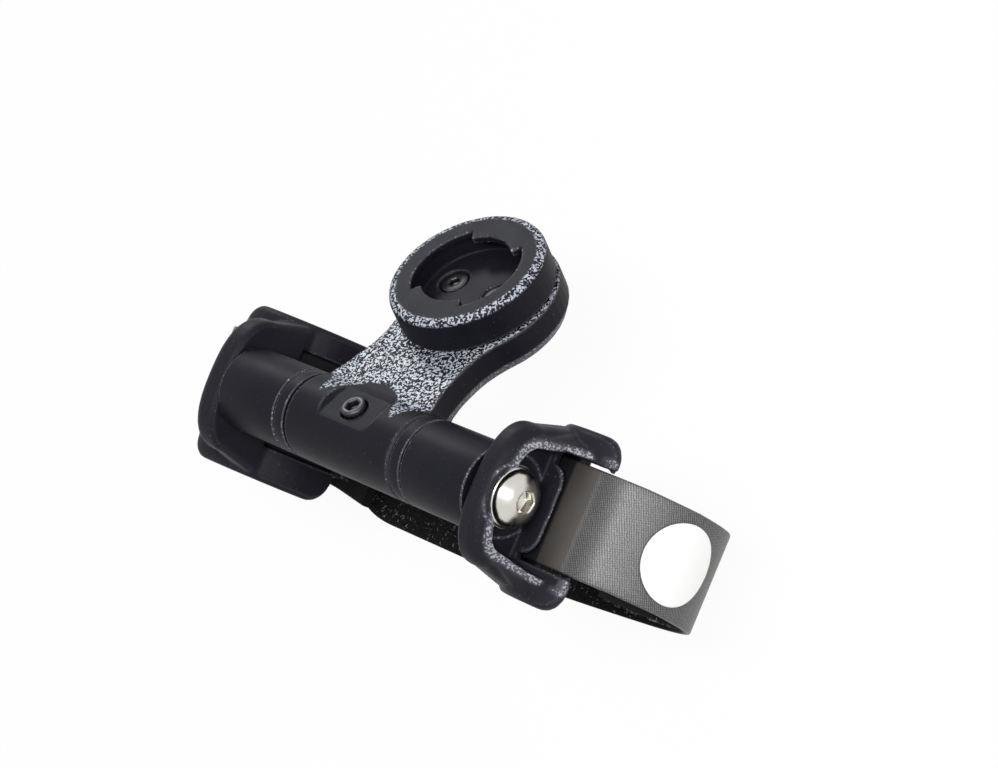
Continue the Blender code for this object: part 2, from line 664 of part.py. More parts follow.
def build_pad(side, name, swivel):
    """Rubber liner between the shell and the seat, open where the strap dives through."""
    pad = curved_plate(SEAT_RADIUS, PAD_OUTER, SHELL_INBOARD + 3, SHELL_OUTBOARD - 3,
                       SADDLE_HALF_LENGTH - 0.7, SHELL_CORNER - 0.7, 0.2)
    made = put("pad_" + name, mirrored(pad, side), "rubber", swivel)
    slot_half = STRAP_WIDTH / 2 + SLOT_SIDE_GAP
    path = strap_path(*PAD_SLOT_TURNS, SLOT_STEP)
    slot = ribbon(path, STRAP_THICKNESS + 2 * SLOT_GAP, [slot_half] * len(path))
    boolean(made, put("pad_slot_cut_" + name, mirrored(slot, side)), "DIFFERENCE")


def build_bolt(side, name, swivel):
    """Button-head bolt and its washer; the shank runs into the tapped rod."""
    dome = [(BOLT_FACE - BOLT_LENGTH, BOLT_RADIUS - 0.5), (BOLT_FACE - BOLT_LENGTH + 0.5, BOLT_RADIUS),
            (BOLT_FACE - 0.001, BOLT_RADIUS), (BOLT_FACE, BOLT_HEAD_RADIUS - 0.1),
            (BOLT_FACE + 0.5, BOLT_HEAD_RADIUS)]
    rise = BOLT_HEAD_HEIGHT - 0.5
    crown = math.radians(BOLT_CROWN_ANGLE)
    rings = 6
    for i in range(1, rings + 1):
        angle = crown * i / rings
        radius = BOLT_HEAD_RADIUS * math.cos(angle)
        dome.append((BOLT_FACE + 0.5 + rise * math.sin(angle) / math.sin(crown), radius))
    bolt = put("end_bolt_" + name, mirrored(stepped_rod(dome, HUB_POINT, ALONG_X), side), "stainless", swivel)
    top = BOLT_FACE + BOLT_HEAD_HEIGHT
    drive = rod(BOLT_SOCKET / math.sqrt(3), top - 1.7, top + 1, sides=6)
    boolean(bolt, put("bolt_drive_cut_" + name, mirrored(drive, side)), "DIFFERENCE")
    hole = BOLT_RADIUS + GAP
    washer = turned(chamfered_washer(BOLT_SEAT + GAP, WASHER_FACE, hole, WASHER_RADIUS))
    put("washer_" + name, mirrored(washer, side), "stainless", swivel)


def chamfered_washer(low, high, inner, outer):
    """Profile of a washer with one rounded face."""
    return [(low, inner), (low, outer), (high - 0.2, outer), (high, outer - 0.2), (high, inner)]


def build_strap(side, name, swivel):
    """The band: under the seat, over the tongue, through the slot and round again."""
    path = strap_path(STRAP_START, WRAP_END_RIGHT if side > 0 else WRAP_END_LEFT)
    halves = [STRAP_WIDTH / 2] * len(path)
    if side > 0:
        tail, tail_halves = tail_path()
        path += tail
        halves += tail_halves
    put("strap_" + name, mirrored(ribbon(path, STRAP_THICKNESS, halves), side), "webbing", swivel)


def build_dot(swivel):
    """The plain white disc bonded to the outside of the right strap."""
    base = OUTER_LAYER + STRAP_THICKNESS / 2 + 0.25
    sections = []
    count = 16
    for i in range(count + 1):
        turn = math.pi * i / count
        along = -DOT_RADIUS * math.cos(turn)
        reach = max(0.25, DOT_RADIUS * math.sin(turn))
        degrees = DOT_ANGLE + math.degrees(along / base)
        outline = [(base, -reach), (base + DOT_THICKNESS, -reach),
                   (base + DOT_THICKNESS, reach), (base, reach)]
        sections.append([on_seat(radius, degrees, DOT_OFFSET + y) for radius, y in outline])
    put("strap_dot", lofted(sections), "white_film", swivel)


def build():
    """Clear the scene and build every piece."""
    for old in list(bpy.data.objects):
        bpy.data.objects.remove(old, do_unlink=True)
    build_crossbar()
    tilt = hub("arm_axis", HUB_POINT)
    build_arm(tilt)
    build_cradle(tilt)
    build_clamp(tilt)
    for side, name in ((1, "right"), (-1, "left")):
        swivel = hub("saddle_axis_" + name, HUB_POINT + side * SADDLE_FACE * ALONG_X)
        build_saddle(side, name, swivel)
        build_pad(side, name, swivel)
        build_bolt(side, name, swivel)
        build_strap(side, name, swivel)
        if side > 0:
            build_dot(swivel)


build()
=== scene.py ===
# %% [markdown]
# A bike computer mount
#
# This lesson dresses one CAD model: a crossbar that bridges two round seats, a tilting arm with a
# quarter-turn cradle, and two strapped saddles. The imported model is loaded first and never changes. Each
# piece made here stands where its CAD node stands, so it needs no fitting.

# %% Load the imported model
import math

import bmesh
import bpy
import numpy as np
from mathutils import Matrix, Vector


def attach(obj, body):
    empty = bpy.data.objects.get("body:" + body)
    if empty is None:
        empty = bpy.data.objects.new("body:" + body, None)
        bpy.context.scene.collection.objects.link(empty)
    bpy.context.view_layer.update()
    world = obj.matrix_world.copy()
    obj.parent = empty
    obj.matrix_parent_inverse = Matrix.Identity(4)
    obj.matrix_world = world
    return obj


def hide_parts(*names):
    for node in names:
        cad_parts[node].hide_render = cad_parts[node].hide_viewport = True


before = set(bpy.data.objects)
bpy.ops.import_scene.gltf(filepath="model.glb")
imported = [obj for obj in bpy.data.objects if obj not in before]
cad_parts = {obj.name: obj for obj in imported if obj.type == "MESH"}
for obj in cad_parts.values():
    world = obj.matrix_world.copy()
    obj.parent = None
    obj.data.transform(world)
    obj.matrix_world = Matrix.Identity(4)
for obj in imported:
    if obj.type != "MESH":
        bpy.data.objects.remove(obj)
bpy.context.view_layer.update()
MM = 0.001
SIDES = ((1, "right"), (-1, "left"))
scene = bpy.context.scene


def new_object(name, data):
    """An object in the scene that shows this data."""
    made = bpy.data.objects.new(name, data)
    scene.collection.objects.link(made)
    return made


# %% [markdown]
# The camera
#
# A photograph's perspective fixes where its camera stood. The camera could be aimed by eye, but then no
# edge would fall where the photograph has it. So the place and the two directions below come from a fit to
# known sizes, and the third direction is worked out from them, which keeps the three square to each other.

# %% Camera
CAMERA_PLACE = Vector((322.856, 0.080, 324.981)) * MM
CAMERA_RIGHT = Vector((0.666762, 0.385185, -0.638013)).normalized()
CAMERA_UP = Vector((-0.252551, 0.922209, 0.292829))
CAMERA_LENS = 104.51

back = CAMERA_RIGHT.cross(CAMERA_UP).normalized()
turn = Matrix((CAMERA_RIGHT, back.cross(CAMERA_RIGHT), back)).transposed()
camera_data = bpy.data.cameras.new("camera")
camera_data.lens = CAMERA_LENS
camera_data.clip_start = 0.01
camera = new_object("camera", camera_data)
camera.matrix_world = Matrix.Translation(CAMERA_PLACE) @ turn.to_4x4()
scene.camera = camera
print("camera", round(CAMERA_PLACE.length, 3), "m from the mount")

# %% [markdown]
# Sums on sockets
#
# A node tree is a sum written as boxes. Adding each box by hand hides the sum, so a small class wraps a
# socket and lets Python's own signs add the Math nodes. One method adds every other node, with its settings
# first, because some settings change which sockets a node has.


# %% A socket in a sum
class Wire:
    """A socket that can stand in a Python sum."""

    def __init__(self, tree, socket):
        self.tree = tree
        self.socket = socket

    def sum(self, operation, first, second):
        return self.tree.add("ShaderNodeMath", {"operation": operation}, {0: first, 1: second})

    def __add__(self, other):
        return self.sum("ADD", self, other)

    def __radd__(self, other):
        return self.sum("ADD", other, self)

    def __sub__(self, other):
        return self.sum("SUBTRACT", self, other)

    def __rsub__(self, other):
        return self.sum("SUBTRACT", other, self)

    def __mul__(self, other):
        return self.sum("MULTIPLY", self, other)

    def __rmul__(self, other):
        return self.sum("MULTIPLY", other, self)

    def __pow__(self, other):
        return self.sum("POWER", self, other)

    def clipped(self):
        """The value held between 0 and 1."""
        return self.tree.add("ShaderNodeClamp", {}, {0: self})

    def wave(self):
        """The sine of the value."""
        return self.tree.add("ShaderNodeMath", {"operation": "SINE"}, {0: self})


# %% A node tree
class Tree:
    """Adds nodes to one node tree."""

    def __init__(self, node_tree):
        self.nodes = node_tree.nodes
        self.links = node_tree.links

    def join(self, value, socket):
        """Link a wire to a socket, or set the socket's own value."""
        if isinstance(value, Wire):
            self.links.new(value.socket, socket)
        else:
            socket.default_value = value

    def add(self, kind, settings, sockets, output=0):
        """Add a node: its settings first, then the values and wires of its sockets."""
        node = self.nodes.new(kind)
        for key, value in settings.items():
            setattr(node, key, value)
        for key, value in sockets.items():
            self.join(value, node.inputs[key])
        return Wire(self, node.outputs[output])


print("sums ready")

# %% [markdown]
# Light and floor
#
# The photograph is a bright room on white paper, and a long band of light runs over each round form. Three
# soft lamps stand in one arc from overhead down to the right, because their mirrored image draws that band,
# and the arm's flat top mirrors a small one at the front left. The floor and the world are white to the
# camera and to reflections, but send less light than that onto the part, so dark plastic stays dark.


# %% World
def seen_directly(tree):
    """One for rays from the camera, a reflection or glass, and else zero."""
    path = tree.nodes.new("ShaderNodeLightPath")
    rays = [Wire(tree, path.outputs[ray])
            for ray in ("Is Camera Ray", "Is Glossy Ray", "Is Transmission Ray")]
    return (rays[0] + rays[1] + rays[2]).clipped()


WHITE = (1, 1, 1, 1)
WORLD_FILL = 0.20
world = bpy.data.worlds.new("studio")
world.use_nodes = True
scene.world = world
room = Tree(world.node_tree)
background = room.nodes["Background"]
background.inputs["Color"].default_value = WHITE
room.join(WORLD_FILL + (1 - WORLD_FILL) * seen_directly(room), background.inputs["Strength"])
scene.view_settings.view_transform = "Standard"
print("world lights the part at", WORLD_FILL)

# %% Floor
FLOOR_LEVEL = -0.0190
FLOOR_HALF = 2.0
PAPER = (0.80, 0.80, 0.80, 1)
PAPER_GLOW = 0.95
floor_finish = bpy.data.materials.new("white_floor")
floor_finish.use_nodes = True
ground = Tree(floor_finish.node_tree)
paper = ground.nodes["Principled BSDF"]
paper.inputs["Base Color"].default_value = PAPER
paper.inputs["Roughness"].default_value = 0.9
glow = ground.add("ShaderNodeEmission", {}, {"Color": WHITE, "Strength": 1.0})
mixed = ground.add("ShaderNodeMixShader", {},
                   {0: seen_directly(ground) * PAPER_GLOW, 1: Wire(ground, paper.outputs[0]), 2: glow})
ground.join(mixed, ground.nodes["Material Output"].inputs["Surface"])

corners = [(x * FLOOR_HALF, y * FLOOR_HALF, FLOOR_LEVEL) for x, y in ((-1, -1), (1, -1), (1, 1), (-1, 1))]
floor_mesh = bpy.data.meshes.new("floor")
floor_mesh.from_pydata(corners, [], [(0, 1, 2, 3)])
floor_mesh.materials.append(floor_finish)
floor = new_object("floor", floor_mesh)
print("floor at", FLOOR_LEVEL)

# %% Lamps
# Each lamp has its place, its length along the arc, its width along the seats, its watts and its colour.
LAMPS = {
    "arc_top": ((0.080, 0.03, 0.620), 0.34, 0.18, 1.5, (1.0, 0.99, 0.98)),
    "arc_high": ((0.330, 0.03, 0.530), 0.36, 0.18, 2.1, (1.0, 0.98, 0.96)),
    "arc_low": ((0.570, 0.03, 0.270), 0.36, 0.15, 1.2, (0.98, 0.99, 1.0)),
    "front_left": ((-0.42, 0.40, 0.19), 0.12, 0.12, 0.9, (0.94, 0.97, 1.0)),
}
LAMP_AIM = Vector((0.03, 0.0, 0.01))
for name, (place, length, width, power, colour) in LAMPS.items():
    lamp = bpy.data.lights.new(name, "AREA")
    lamp.shape = "RECTANGLE"
    lamp.size = width
    lamp.size_y = length
    lamp.energy = power
    lamp.color = colour
    away = (Vector(place) - LAMP_AIM).normalized()
    along = Vector((0, 1, 0)).cross(away).normalized()
    side_way = along.cross(away).normalized()
    turn = Matrix((side_way, along, away)).transposed()
    new_object(name, lamp).matrix_world = Matrix.Translation(place) @ turn.to_4x4()
print("lamps", ", ".join(LAMPS))

# %% [markdown]
# Finishes
#
# Every finish is a Principled shader with a pattern worked out from the piece's own place in metres, so a
# grain is the same size on each piece. A picture of plastic would repeat and blur, but noise does neither.


# %% A finish and its patterns
class Finish(Tree):
    """A Principled material with the patterns that this mount's finishes share."""

    def __init__(self, name, metallic=0.0, specular=0.5, coat_roughness=0.2):
        self.material = bpy.data.materials.new(name)
        self.material.use_nodes = True
        super().__init__(self.material.node_tree)
        self.shader = self.nodes["Principled BSDF"]
        self.feed({"Metallic": metallic, "Specular IOR Level": specular, "Coat Roughness": coat_roughness})
        self.place = self.add("ShaderNodeTexCoord", {}, {}, "Object")

    def feed(self, sockets):
        """Set or link sockets of the shader."""
        for label, value in sockets.items():
            self.join(value, self.shader.inputs[label])

    def noise(self, scale, detail=2.0, roughness=0.5, distortion=0.0):
        """Clouds of noise; scale is in lumps per metre."""
        return self.add("ShaderNodeTexNoise", {}, {"Vector": self.place, "Scale": scale, "Detail": detail,
                                                   "Roughness": roughness, "Distortion": distortion})

    def part(self, vector, axis):
        """One of a vector's three numbers."""
        return self.add("ShaderNodeSeparateXYZ", {}, {0: vector}, axis)

    def measure(self, name):
        """A number that the mesh carries on its points or faces."""
        return self.add("ShaderNodeAttribute", {"attribute_name": name}, {}, "Fac")

    def blend(self, factor, first, second):
        """A colour between two colours."""
        return self.add("ShaderNodeMix", {"data_type": "RGBA"}, {0: factor, 6: first, 7: second}, 2)

    def close(self, colour, roughness, height, depth, gloss=0.0):
        """Feed the shader: colour, roughness, a bump whose depth is in metres, and a gloss coat."""
        bump = self.add("ShaderNodeBump", {}, {"Strength": 1.0, "Distance": depth, "Height": height})
        self.feed({"Base Color": colour, "Roughness": roughness, "Coat Weight": gloss, "Normal": bump})
        return self.material


def shade(colour, factor=1.0):
    """An opaque colour, lighter or darker by a factor."""
    return tuple(channel * factor for channel in colour) + (1.0,)


print("finish class ready")

# %% [markdown]
# Nylon and rubber
#
# The arm's top is etched with a coarse grain whose worms are painted pale as a highlight. Displacing a mesh
# that finely would cost millions of faces, so it is noise in the shader, and the meshes only say where it
# lies and where pale specks and edges are painted as highlights.

# %% Nylon, satin and etched
GRIT_PER_METRE = 2800.0
WORMS_PER_METRE = 2600.0
# Painted highlight: the pale tone of the specks and edges where the grain glints.
GLINT_TONE = (0.30, 0.30, 0.35)
# Painted highlight: the pale tone of the etched grain's worms.
WORM_GLINT_TONE = (0.43, 0.46, 0.53)


def nylon(name, colour, grain_size, grain_depth, glint_share):
    """Dark moulded nylon with painted highlights: pale specks, pale edges and pale worms where etched, and
    a gloss coat.
    """
    finish = Finish(name, specular=0.08, coat_roughness=0.22)
    fine = finish.noise(1 / grain_size, 3.0, 0.6)
    broad = finish.noise(220.0)
    edge = finish.measure("edge").clipped()
    etched = finish.measure("etched").clipped()
    # Painted highlights: the grit specks and the edge mask get a pale colour for the grain's glints.
    grit = ((finish.noise(GRIT_PER_METRE, 1.0) - 0.72 + edge * 0.23) * 14.0).clipped()
    worms = ((finish.noise(WORMS_PER_METRE, 0.0, 0.5, 0.6) - 0.5) * 17.0).clipped()
    painted_sheen = (edge * 0.24 + grit * (0.12 + edge * glint_share)).clipped()
    tone = finish.blend(broad, shade(colour, 0.8), shade(colour, 1.25))
    tone = finish.blend(painted_sheen, tone, shade(GLINT_TONE))
    # Painted highlight: the etched grain's worms are painted pale, besides their gloss coat.
    tone = finish.blend(etched * worms, tone, shade(WORM_GLINT_TONE))
    rough = 0.36 + broad * 0.12 + fine * 0.08
    height = fine + grit * (0.4 + edge * 1.6) + worms * etched * 2.0
    gloss = (etched * worms * 0.25 + painted_sheen * 0.3).clipped()
    return finish.close(tone, rough, height, grain_depth, gloss)


NYLON = nylon("nylon_satin", (0.0080, 0.0078, 0.0125), 0.00020, 0.000020, 0.9)
GRAINED = nylon("nylon_etched", (0.0080, 0.0080, 0.0120), 0.00022, 0.000026, 0.6)
RUBBER = nylon("rubber_matt", (0.0090, 0.0088, 0.0130), 0.00030, 0.000014, 0.3)
print("nylon grit", round(1000 / GRIT_PER_METRE, 2), "mm apart")

# %% [markdown]
# Metals
#
# The bolts, washers and rod came off a lathe, which leaves fine rings; a plain metal would look cast. All
# but the small screws turn about the crossbar's axis, so the distance from that axis gives the rings.

# %% Turned metal
HUB_RISE = 18.8


def metal(name, colour, roughness, lines):
    """Turned metal: fine rings about the crossbar's axis, and faint clouds of handling."""
    finish = Finish(name, metallic=1.0)
    across = finish.part(finish.place, 1)
    up = finish.part(finish.place, 2) - HUB_RISE * MM
    radius = (across * across + up * up) ** 0.5
    rings = (radius * lines).wave() * 0.5 + 0.5
    cloud = finish.noise(420.0, 3.0)
    fine = finish.noise(6000.0, 2.0)
    tone = finish.blend(cloud, shade(colour, 0.86), shade(colour, 1.08))
    rough = roughness + cloud * 0.10 + rings * 0.04
    return finish.close(tone, rough, rings * 0.6 + fine * 0.4, 0.000004)


STAINLESS = metal("stainless_turned", (0.66, 0.64, 0.59), 0.16, 24000.0)
ALUMINIUM = metal("aluminium_turned", (0.45, 0.46, 0.48), 0.30, 16000.0)
BLACK_STEEL = metal("steel_blackened", (0.06, 0.06, 0.066), 0.34, 14000.0)
print("metals", STAINLESS.name, ALUMINIUM.name, BLACK_STEEL.name)

# %% [markdown]
# Webbing, thread and film
#
# A weave follows its band and not the room, so it is drawn on the band's UV map, which holds the length and
# the width in metres: two sets of slanted waves cross, and noise breaks them up as uneven yarn does.

# %% Webbing
RIB_WAVES = (17600.0, 7000.0)
PICK_WAVES = (-5800.0, 17400.0)
YARN_WANDER = 5.0
YARN_TONE = (0.105, 0.105, 0.108)
SLOT_TONE = (0.032, 0.028, 0.026)
PILE_AND_SLOT_SHADE_TONE = (0.0045, 0.0045, 0.0055)


def webbing():
    """Close-woven band: twill, smooth where it leaves the slot, dark where it is loops, and painted dark as
    shade in the slot.
    """
    colour = (0.0150, 0.0150, 0.0155)
    finish = Finish("webbing_twill", specular=0.15, coat_roughness=0.50)
    finish.feed({"Coat IOR": 1.9})
    place_on = finish.add("ShaderNodeUVMap", {"uv_map": "UVMap"}, {})
    run = finish.part(place_on, 0)
    across = finish.part(place_on, 1)
    woven = finish.measure("woven").clipped()
    pile = finish.measure("pile").clipped()
    wander = finish.noise(2200.0, 2.0) * YARN_WANDER
    ribs = (run * RIB_WAVES[0] + across * RIB_WAVES[1] + wander).wave() * 0.5 + 0.5
    picks = (run * PICK_WAVES[0] + across * PICK_WAVES[1] + wander).wave() * 0.5 + 0.5
    strand = ((finish.noise(5200.0, 1.0) - 0.5) * 4.0 + 0.8).clipped()
    weave = (ribs * 0.55 + ribs * picks * 0.7) * (0.40 + strand * 0.65)
    cloud = finish.noise(260.0, 2.0)
    tone = finish.blend((weave * woven).clipped(), shade(colour, 0.75), shade(YARN_TONE))
    tone = finish.blend(1 - woven, tone, shade(SLOT_TONE))
    # The pile mask is real loops, and also painted shade where the band runs in the slot.
    tone = finish.blend(pile, tone, shade(PILE_AND_SLOT_SHADE_TONE))
    rough = 0.46 + cloud * 0.06 + pile * 0.4
    gloss = (1 - pile) * (0.30 + woven * (0.10 + weave * 0.70))
    return finish.close(tone, rough, weave * woven + cloud * 0.1, 0.00005, gloss.clipped())


WEBBING = webbing()
print("weave", round(2 * math.pi * 1000 / RIB_WAVES[0], 2), "mm from rib to rib")


# %% Thread and film
def thread():
    """The thread of the loops: black, with a painted sheen in a pale tone on some tufts."""
    colour = (0.0055, 0.0055, 0.0070)
    finish = Finish("loop_thread", specular=0.15)
    # Painted sheen: a share of the loops, chosen at random, gets a pale tone for the thread's sheen.
    painted_sheen = ((finish.measure("tuft") - 0.62) * 4.0).clipped()
    cloud = finish.noise(900.0, 2.0)
    tone = finish.blend(cloud, shade(colour, 0.7), shade(colour, 1.6))
    tone = finish.blend(painted_sheen, tone, shade((0.18, 0.18, 0.19)))
    return finish.close(tone, 0.45 + cloud * 0.2, cloud, 0.00001)


def film():
    """Plain white vinyl film with a faint orange peel."""
    finish = Finish("vinyl_white")
    cloud = finish.noise(300.0, 2.0)
    peel = finish.noise(2500.0, 1.0)
    tone = finish.blend(cloud, shade((0.78, 0.78, 0.77)), shade((0.82, 0.82, 0.81)))
    return finish.close(tone, 0.30 + cloud * 0.12, peel, 0.000006)


THREAD = thread()
FILM = film()
print("materials", len(bpy.data.materials))

# %% [markdown]
# Mouldings
#
# A CAD solid has knife edges, and nothing moulded has. A bevel on every edge would fail where cuts meet, so
# a copy is turned into an even skin of small cells and relaxed, which rounds every edge alike. The hub is
# then trued to its radius, and each point notes how sharply the skin bends there, where the finish paints
# a pale highlight.


# %% Meshes as numbers
def rows_of(items, key, width=3, kind=float):
    """What the points, edges or notes of a mesh hold, as rows of numbers."""
    numbers = np.empty(len(items) * width, dtype=kind)
    items.foreach_get(key, numbers)
    return numbers.reshape(-1, width)


def neighbour_mean(rows, edges):
    """The mean of each point's neighbours, for every column of its row."""
    here, there = np.concatenate((edges, edges[:, ::-1])).T
    count = np.maximum(np.bincount(here, minlength=len(rows)), 1)
    total = [np.bincount(here, weights=column[there], minlength=len(rows)) for column in rows.T]
    return np.stack(total, axis=1) / count[:, None]


def ramp(values, low, high):
    """Zero below the low value, one above the high one."""
    return np.clip((values - low) / (high - low), 0, 1)


def note(mesh, name, values, domain="POINT"):
    """Store one number at each point or face of the mesh."""
    numbers = np.ascontiguousarray(values, dtype=np.float32)
    mesh.attributes.new(name, "FLOAT", domain).data.foreach_set("value", numbers)


def raise_note(mesh, name, values):
    """Raise a number that the points already carry to at least these values."""
    held = mesh.attributes[name].data
    numbers = rows_of(held, "value", 1, np.float32)[:, 0]
    held.foreach_set("value", np.maximum(numbers, values).astype(np.float32))


print("mesh numbers ready")


# %% From points to a piece
def mesh_from(name, made, closed=False):
    """The mesh of a bmesh, which is freed; a closed form's faces are turned outwards."""
    if closed:
        bmesh.ops.recalc_face_normals(made, faces=made.faces)
    mesh = bpy.data.meshes.new(name)
    made.to_mesh(mesh)
    made.free()
    return mesh


def plain_object(name, mesh, finish):
    """A mesh as an object at the origin, with its finish."""
    mesh.materials.clear()
    mesh.materials.append(finish)
    mesh.shade_smooth()
    return new_object(name, mesh)


def evaluated_mesh(holder):
    """A plain mesh of what an object's modifier makes; the object is removed."""
    mesh = bpy.data.meshes.new_from_object(holder.evaluated_get(bpy.context.evaluated_depsgraph_get()))
    bpy.data.objects.remove(holder)
    return mesh


print("piece helpers ready")

# %% A softened skin
BEND_ROUNDS = 3


def voxel_skin(name, node, cell):
    """An even skin of one CAD node, in millimetres."""
    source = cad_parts[node]
    made = bmesh.new()
    made.from_mesh(source.data)
    made.transform(source.matrix_world)
    bmesh.ops.remove_doubles(made, verts=made.verts, dist=1e-7)
    made.transform(Matrix.Scale(1 / MM, 4))
    block = new_object(name + "_rough", mesh_from(name + "_rough", made))
    step = block.modifiers.new("skin", "REMESH")
    step.mode = "VOXEL"
    step.voxel_size = cell
    return evaluated_mesh(block)


def softened(name, node, finish, cell, rounds, true_up=None):
    """A relaxed skin of one CAD node, which notes how sharply its edges bend, for a painted highlight."""
    mesh = voxel_skin(name, node, cell)
    points = rows_of(mesh.vertices, "co")
    edges = rows_of(mesh.edges, "vertices", 2, np.int32)
    for _ in range(rounds):
        points += 0.5 * (neighbour_mean(points, edges) - points)
    if true_up:
        points = true_up(points)
    mesh.vertices.foreach_set("co", points.ravel())
    mesh.update()
    sink = neighbour_mean(points, edges) - points
    bend = -np.einsum("ij,ij->i", sink, rows_of(mesh.vertices, "normal")) / cell ** 2
    for _ in range(BEND_ROUNDS):
        bend = 0.5 * (bend + neighbour_mean(bend[:, None], edges)[:, 0])
    # Painted highlight: the sharper the bend, the paler the finish paints the edge.
    note(mesh, "edge", np.clip(bend * 2.2 - 0.25, 0, 1))
    mesh.vertices.foreach_set("co", (points * MM).ravel())
    mesh.update()
    print(name, len(mesh.polygons), "faces")
    return plain_object(name, mesh, finish)


# %% The arm's own form
HUB = np.array([0.0, 0.0, HUB_RISE])
ARM_PITCH = math.radians(31.5)
ARM_UP = np.array([0.0, math.sin(ARM_PITCH), math.cos(ARM_PITCH)])
ARM_OUT = np.array([0.0, math.cos(ARM_PITCH), -math.sin(ARM_PITCH)])
TUBE_RADIUS = 6.9
HUB_TOLERANCE = 0.05
HUB_TRUED_HALF = 12.2
NECK_HALF = 10.2
NECK_ARC = 27.7
NECK_ARC_START = 15.0
NECK_ARC_RUN = 12.0
NECK_BEVEL = 1.1


def neck_half(reach, height):
    """Half the neck's width: it widens into the hub along an arc, and its lower edge is bevelled."""
    run = np.clip(NECK_ARC_START - reach, 0.0, NECK_ARC_RUN)
    bevel = NECK_BEVEL * ramp(-height, -1.1, 0.8)
    return NECK_HALF + NECK_ARC - np.sqrt(NECK_ARC ** 2 - run ** 2) - bevel


def trued_arm(points):
    """The hub made round, and the fillets under the neck trimmed to the neck's own sides."""
    offset = points - HUB
    radius = np.hypot(offset[:, 1], offset[:, 2])
    near = (np.abs(radius - TUBE_RADIUS) < HUB_TOLERANCE) & (np.abs(offset[:, 0]) < HUB_TRUED_HALF)
    scale = np.where(near, TUBE_RADIUS / np.maximum(radius, 1e-6), 1.0)
    points[:, 1:] = offset[:, 1:] * scale[:, None] + HUB[1:]
    reach = (points - HUB) @ ARM_OUT
    height = (points - HUB) @ ARM_UP
    excess = np.maximum(np.abs(points[:, 0]) - neck_half(reach, height), 0)
    foot = ramp(np.hypot(reach, height), 6.95, 7.6) * ramp(reach, 4.0, 5.0) * (1 - ramp(reach, 11.5, 12.5))
    points[:, 0] -= np.sign(points[:, 0]) * foot * excess
    return points


print("arm pitched", round(math.degrees(ARM_PITCH), 1), "degrees down")

# %% The arm, the cradle, the saddles and the pads
SKIN_CELL = 0.22
ARM_CELL = 0.24
PAD_CELL = 0.4
arm = softened("arm_moulding", "arm_body", GRAINED, ARM_CELL, 3, trued_arm)
cradle = softened("cradle_moulding", "cradle_socket", NYLON, SKIN_CELL, 3)
saddles = {}
pads = {}
for _, side_name in SIDES:
    saddles[side_name] = softened("saddle_moulding_" + side_name, "saddle_" + side_name,
                                  NYLON, SKIN_CELL, 8)
    pads[side_name] = softened("pad_liner_" + side_name, "pad_" + side_name, RUBBER, PAD_CELL, 3)

# %% [markdown]
# Where the mouldings are etched and painted with highlights
#
# The grain lies on the neck's top and the cradle's upper edge, and the saddles get painted highlights along
# the rim of the recess, on the dish round the bolt and faintly over the hood. Paint would be lost when a
# mesh changes, so each mask is a sum on the points' own places.

# %% Etched faces
HEAD_REACH = 28.2
FLAT_FROM = 7.4
ETCH_ACROSS = (0, 3, 5, 6, 6.8, 8.4, 9.5, 12)
ETCH_STARTS = (6.7, 6.0, 4.5, 3.0, 1.8, 0.2, 3.4, 5.6)


def arm_place(mesh):
    """Each point's place across, out along and up from the arm, and how far it faces up."""
    points = rows_of(mesh.vertices, "co") / MM - HUB
    facing = rows_of(mesh.vertices, "normal") @ ARM_UP
    return points[:, 0], points @ ARM_OUT, points @ ARM_UP, facing


across, reach, height, facing = arm_place(arm.data)
start = np.interp(np.abs(across), ETCH_ACROSS, ETCH_STARTS)
flat = np.where(reach > FLAT_FROM, ramp(facing, 0.80, 0.92), ramp(facing, 0.45, 0.6))
etched = flat * ramp(reach, start, start + 0.3) * ramp(height, 4.6, 5.0)
note(arm.data, "etched", etched)
# Painted highlight: the neck's bevelled lower edge is made paler through the edge mask.
bevel_band = ramp(height, -0.9, -0.5) * (1 - ramp(height, 0.9, 1.3))
raise_note(arm.data, "edge", 0.8 * bevel_band * ramp(reach, 7.0, 7.5) * ramp(-facing, 0.15, 0.3))

across, reach, height, facing = arm_place(cradle.data)
rim = ramp(np.hypot(across, reach - HEAD_REACH), 11.6, 11.9)
note(cradle.data, "etched", ramp(height, 10.0, 10.3) * rim * ramp(facing, 0.25, 0.4))
print("etched points on the arm", int((etched > 0.5).sum()))

# %% Painted highlights on the saddles' rims
RIM_HALF = 8.1
RIM_RISE = 3.4
RIM_DROP = 5.4
RIM_SPREAD = 1.1
RIM_SQUARENESS = 0.8
DISH_RADIUS = 6.4
DISH_GLINT = 0.6
HOOD_GLINT = 0.06


def rim_outline():
    """Points (along the seat, up) of the recess's rim: an arch over the bolt and two legs that spread."""
    spots = []
    for i in range(41):
        angle = math.pi * i / 40
        along = math.copysign(RIM_HALF * abs(math.cos(angle)) ** RIM_SQUARENESS, math.cos(angle))
        spots.append((along, HUB_RISE + RIM_RISE * math.sin(angle) ** RIM_SQUARENESS))
    for i in range(1, 20):
        share = i / 19
        for side in (1, -1):
            spots.append((side * (RIM_HALF + RIM_SPREAD * share), HUB_RISE - RIM_DROP * share))
    return spots


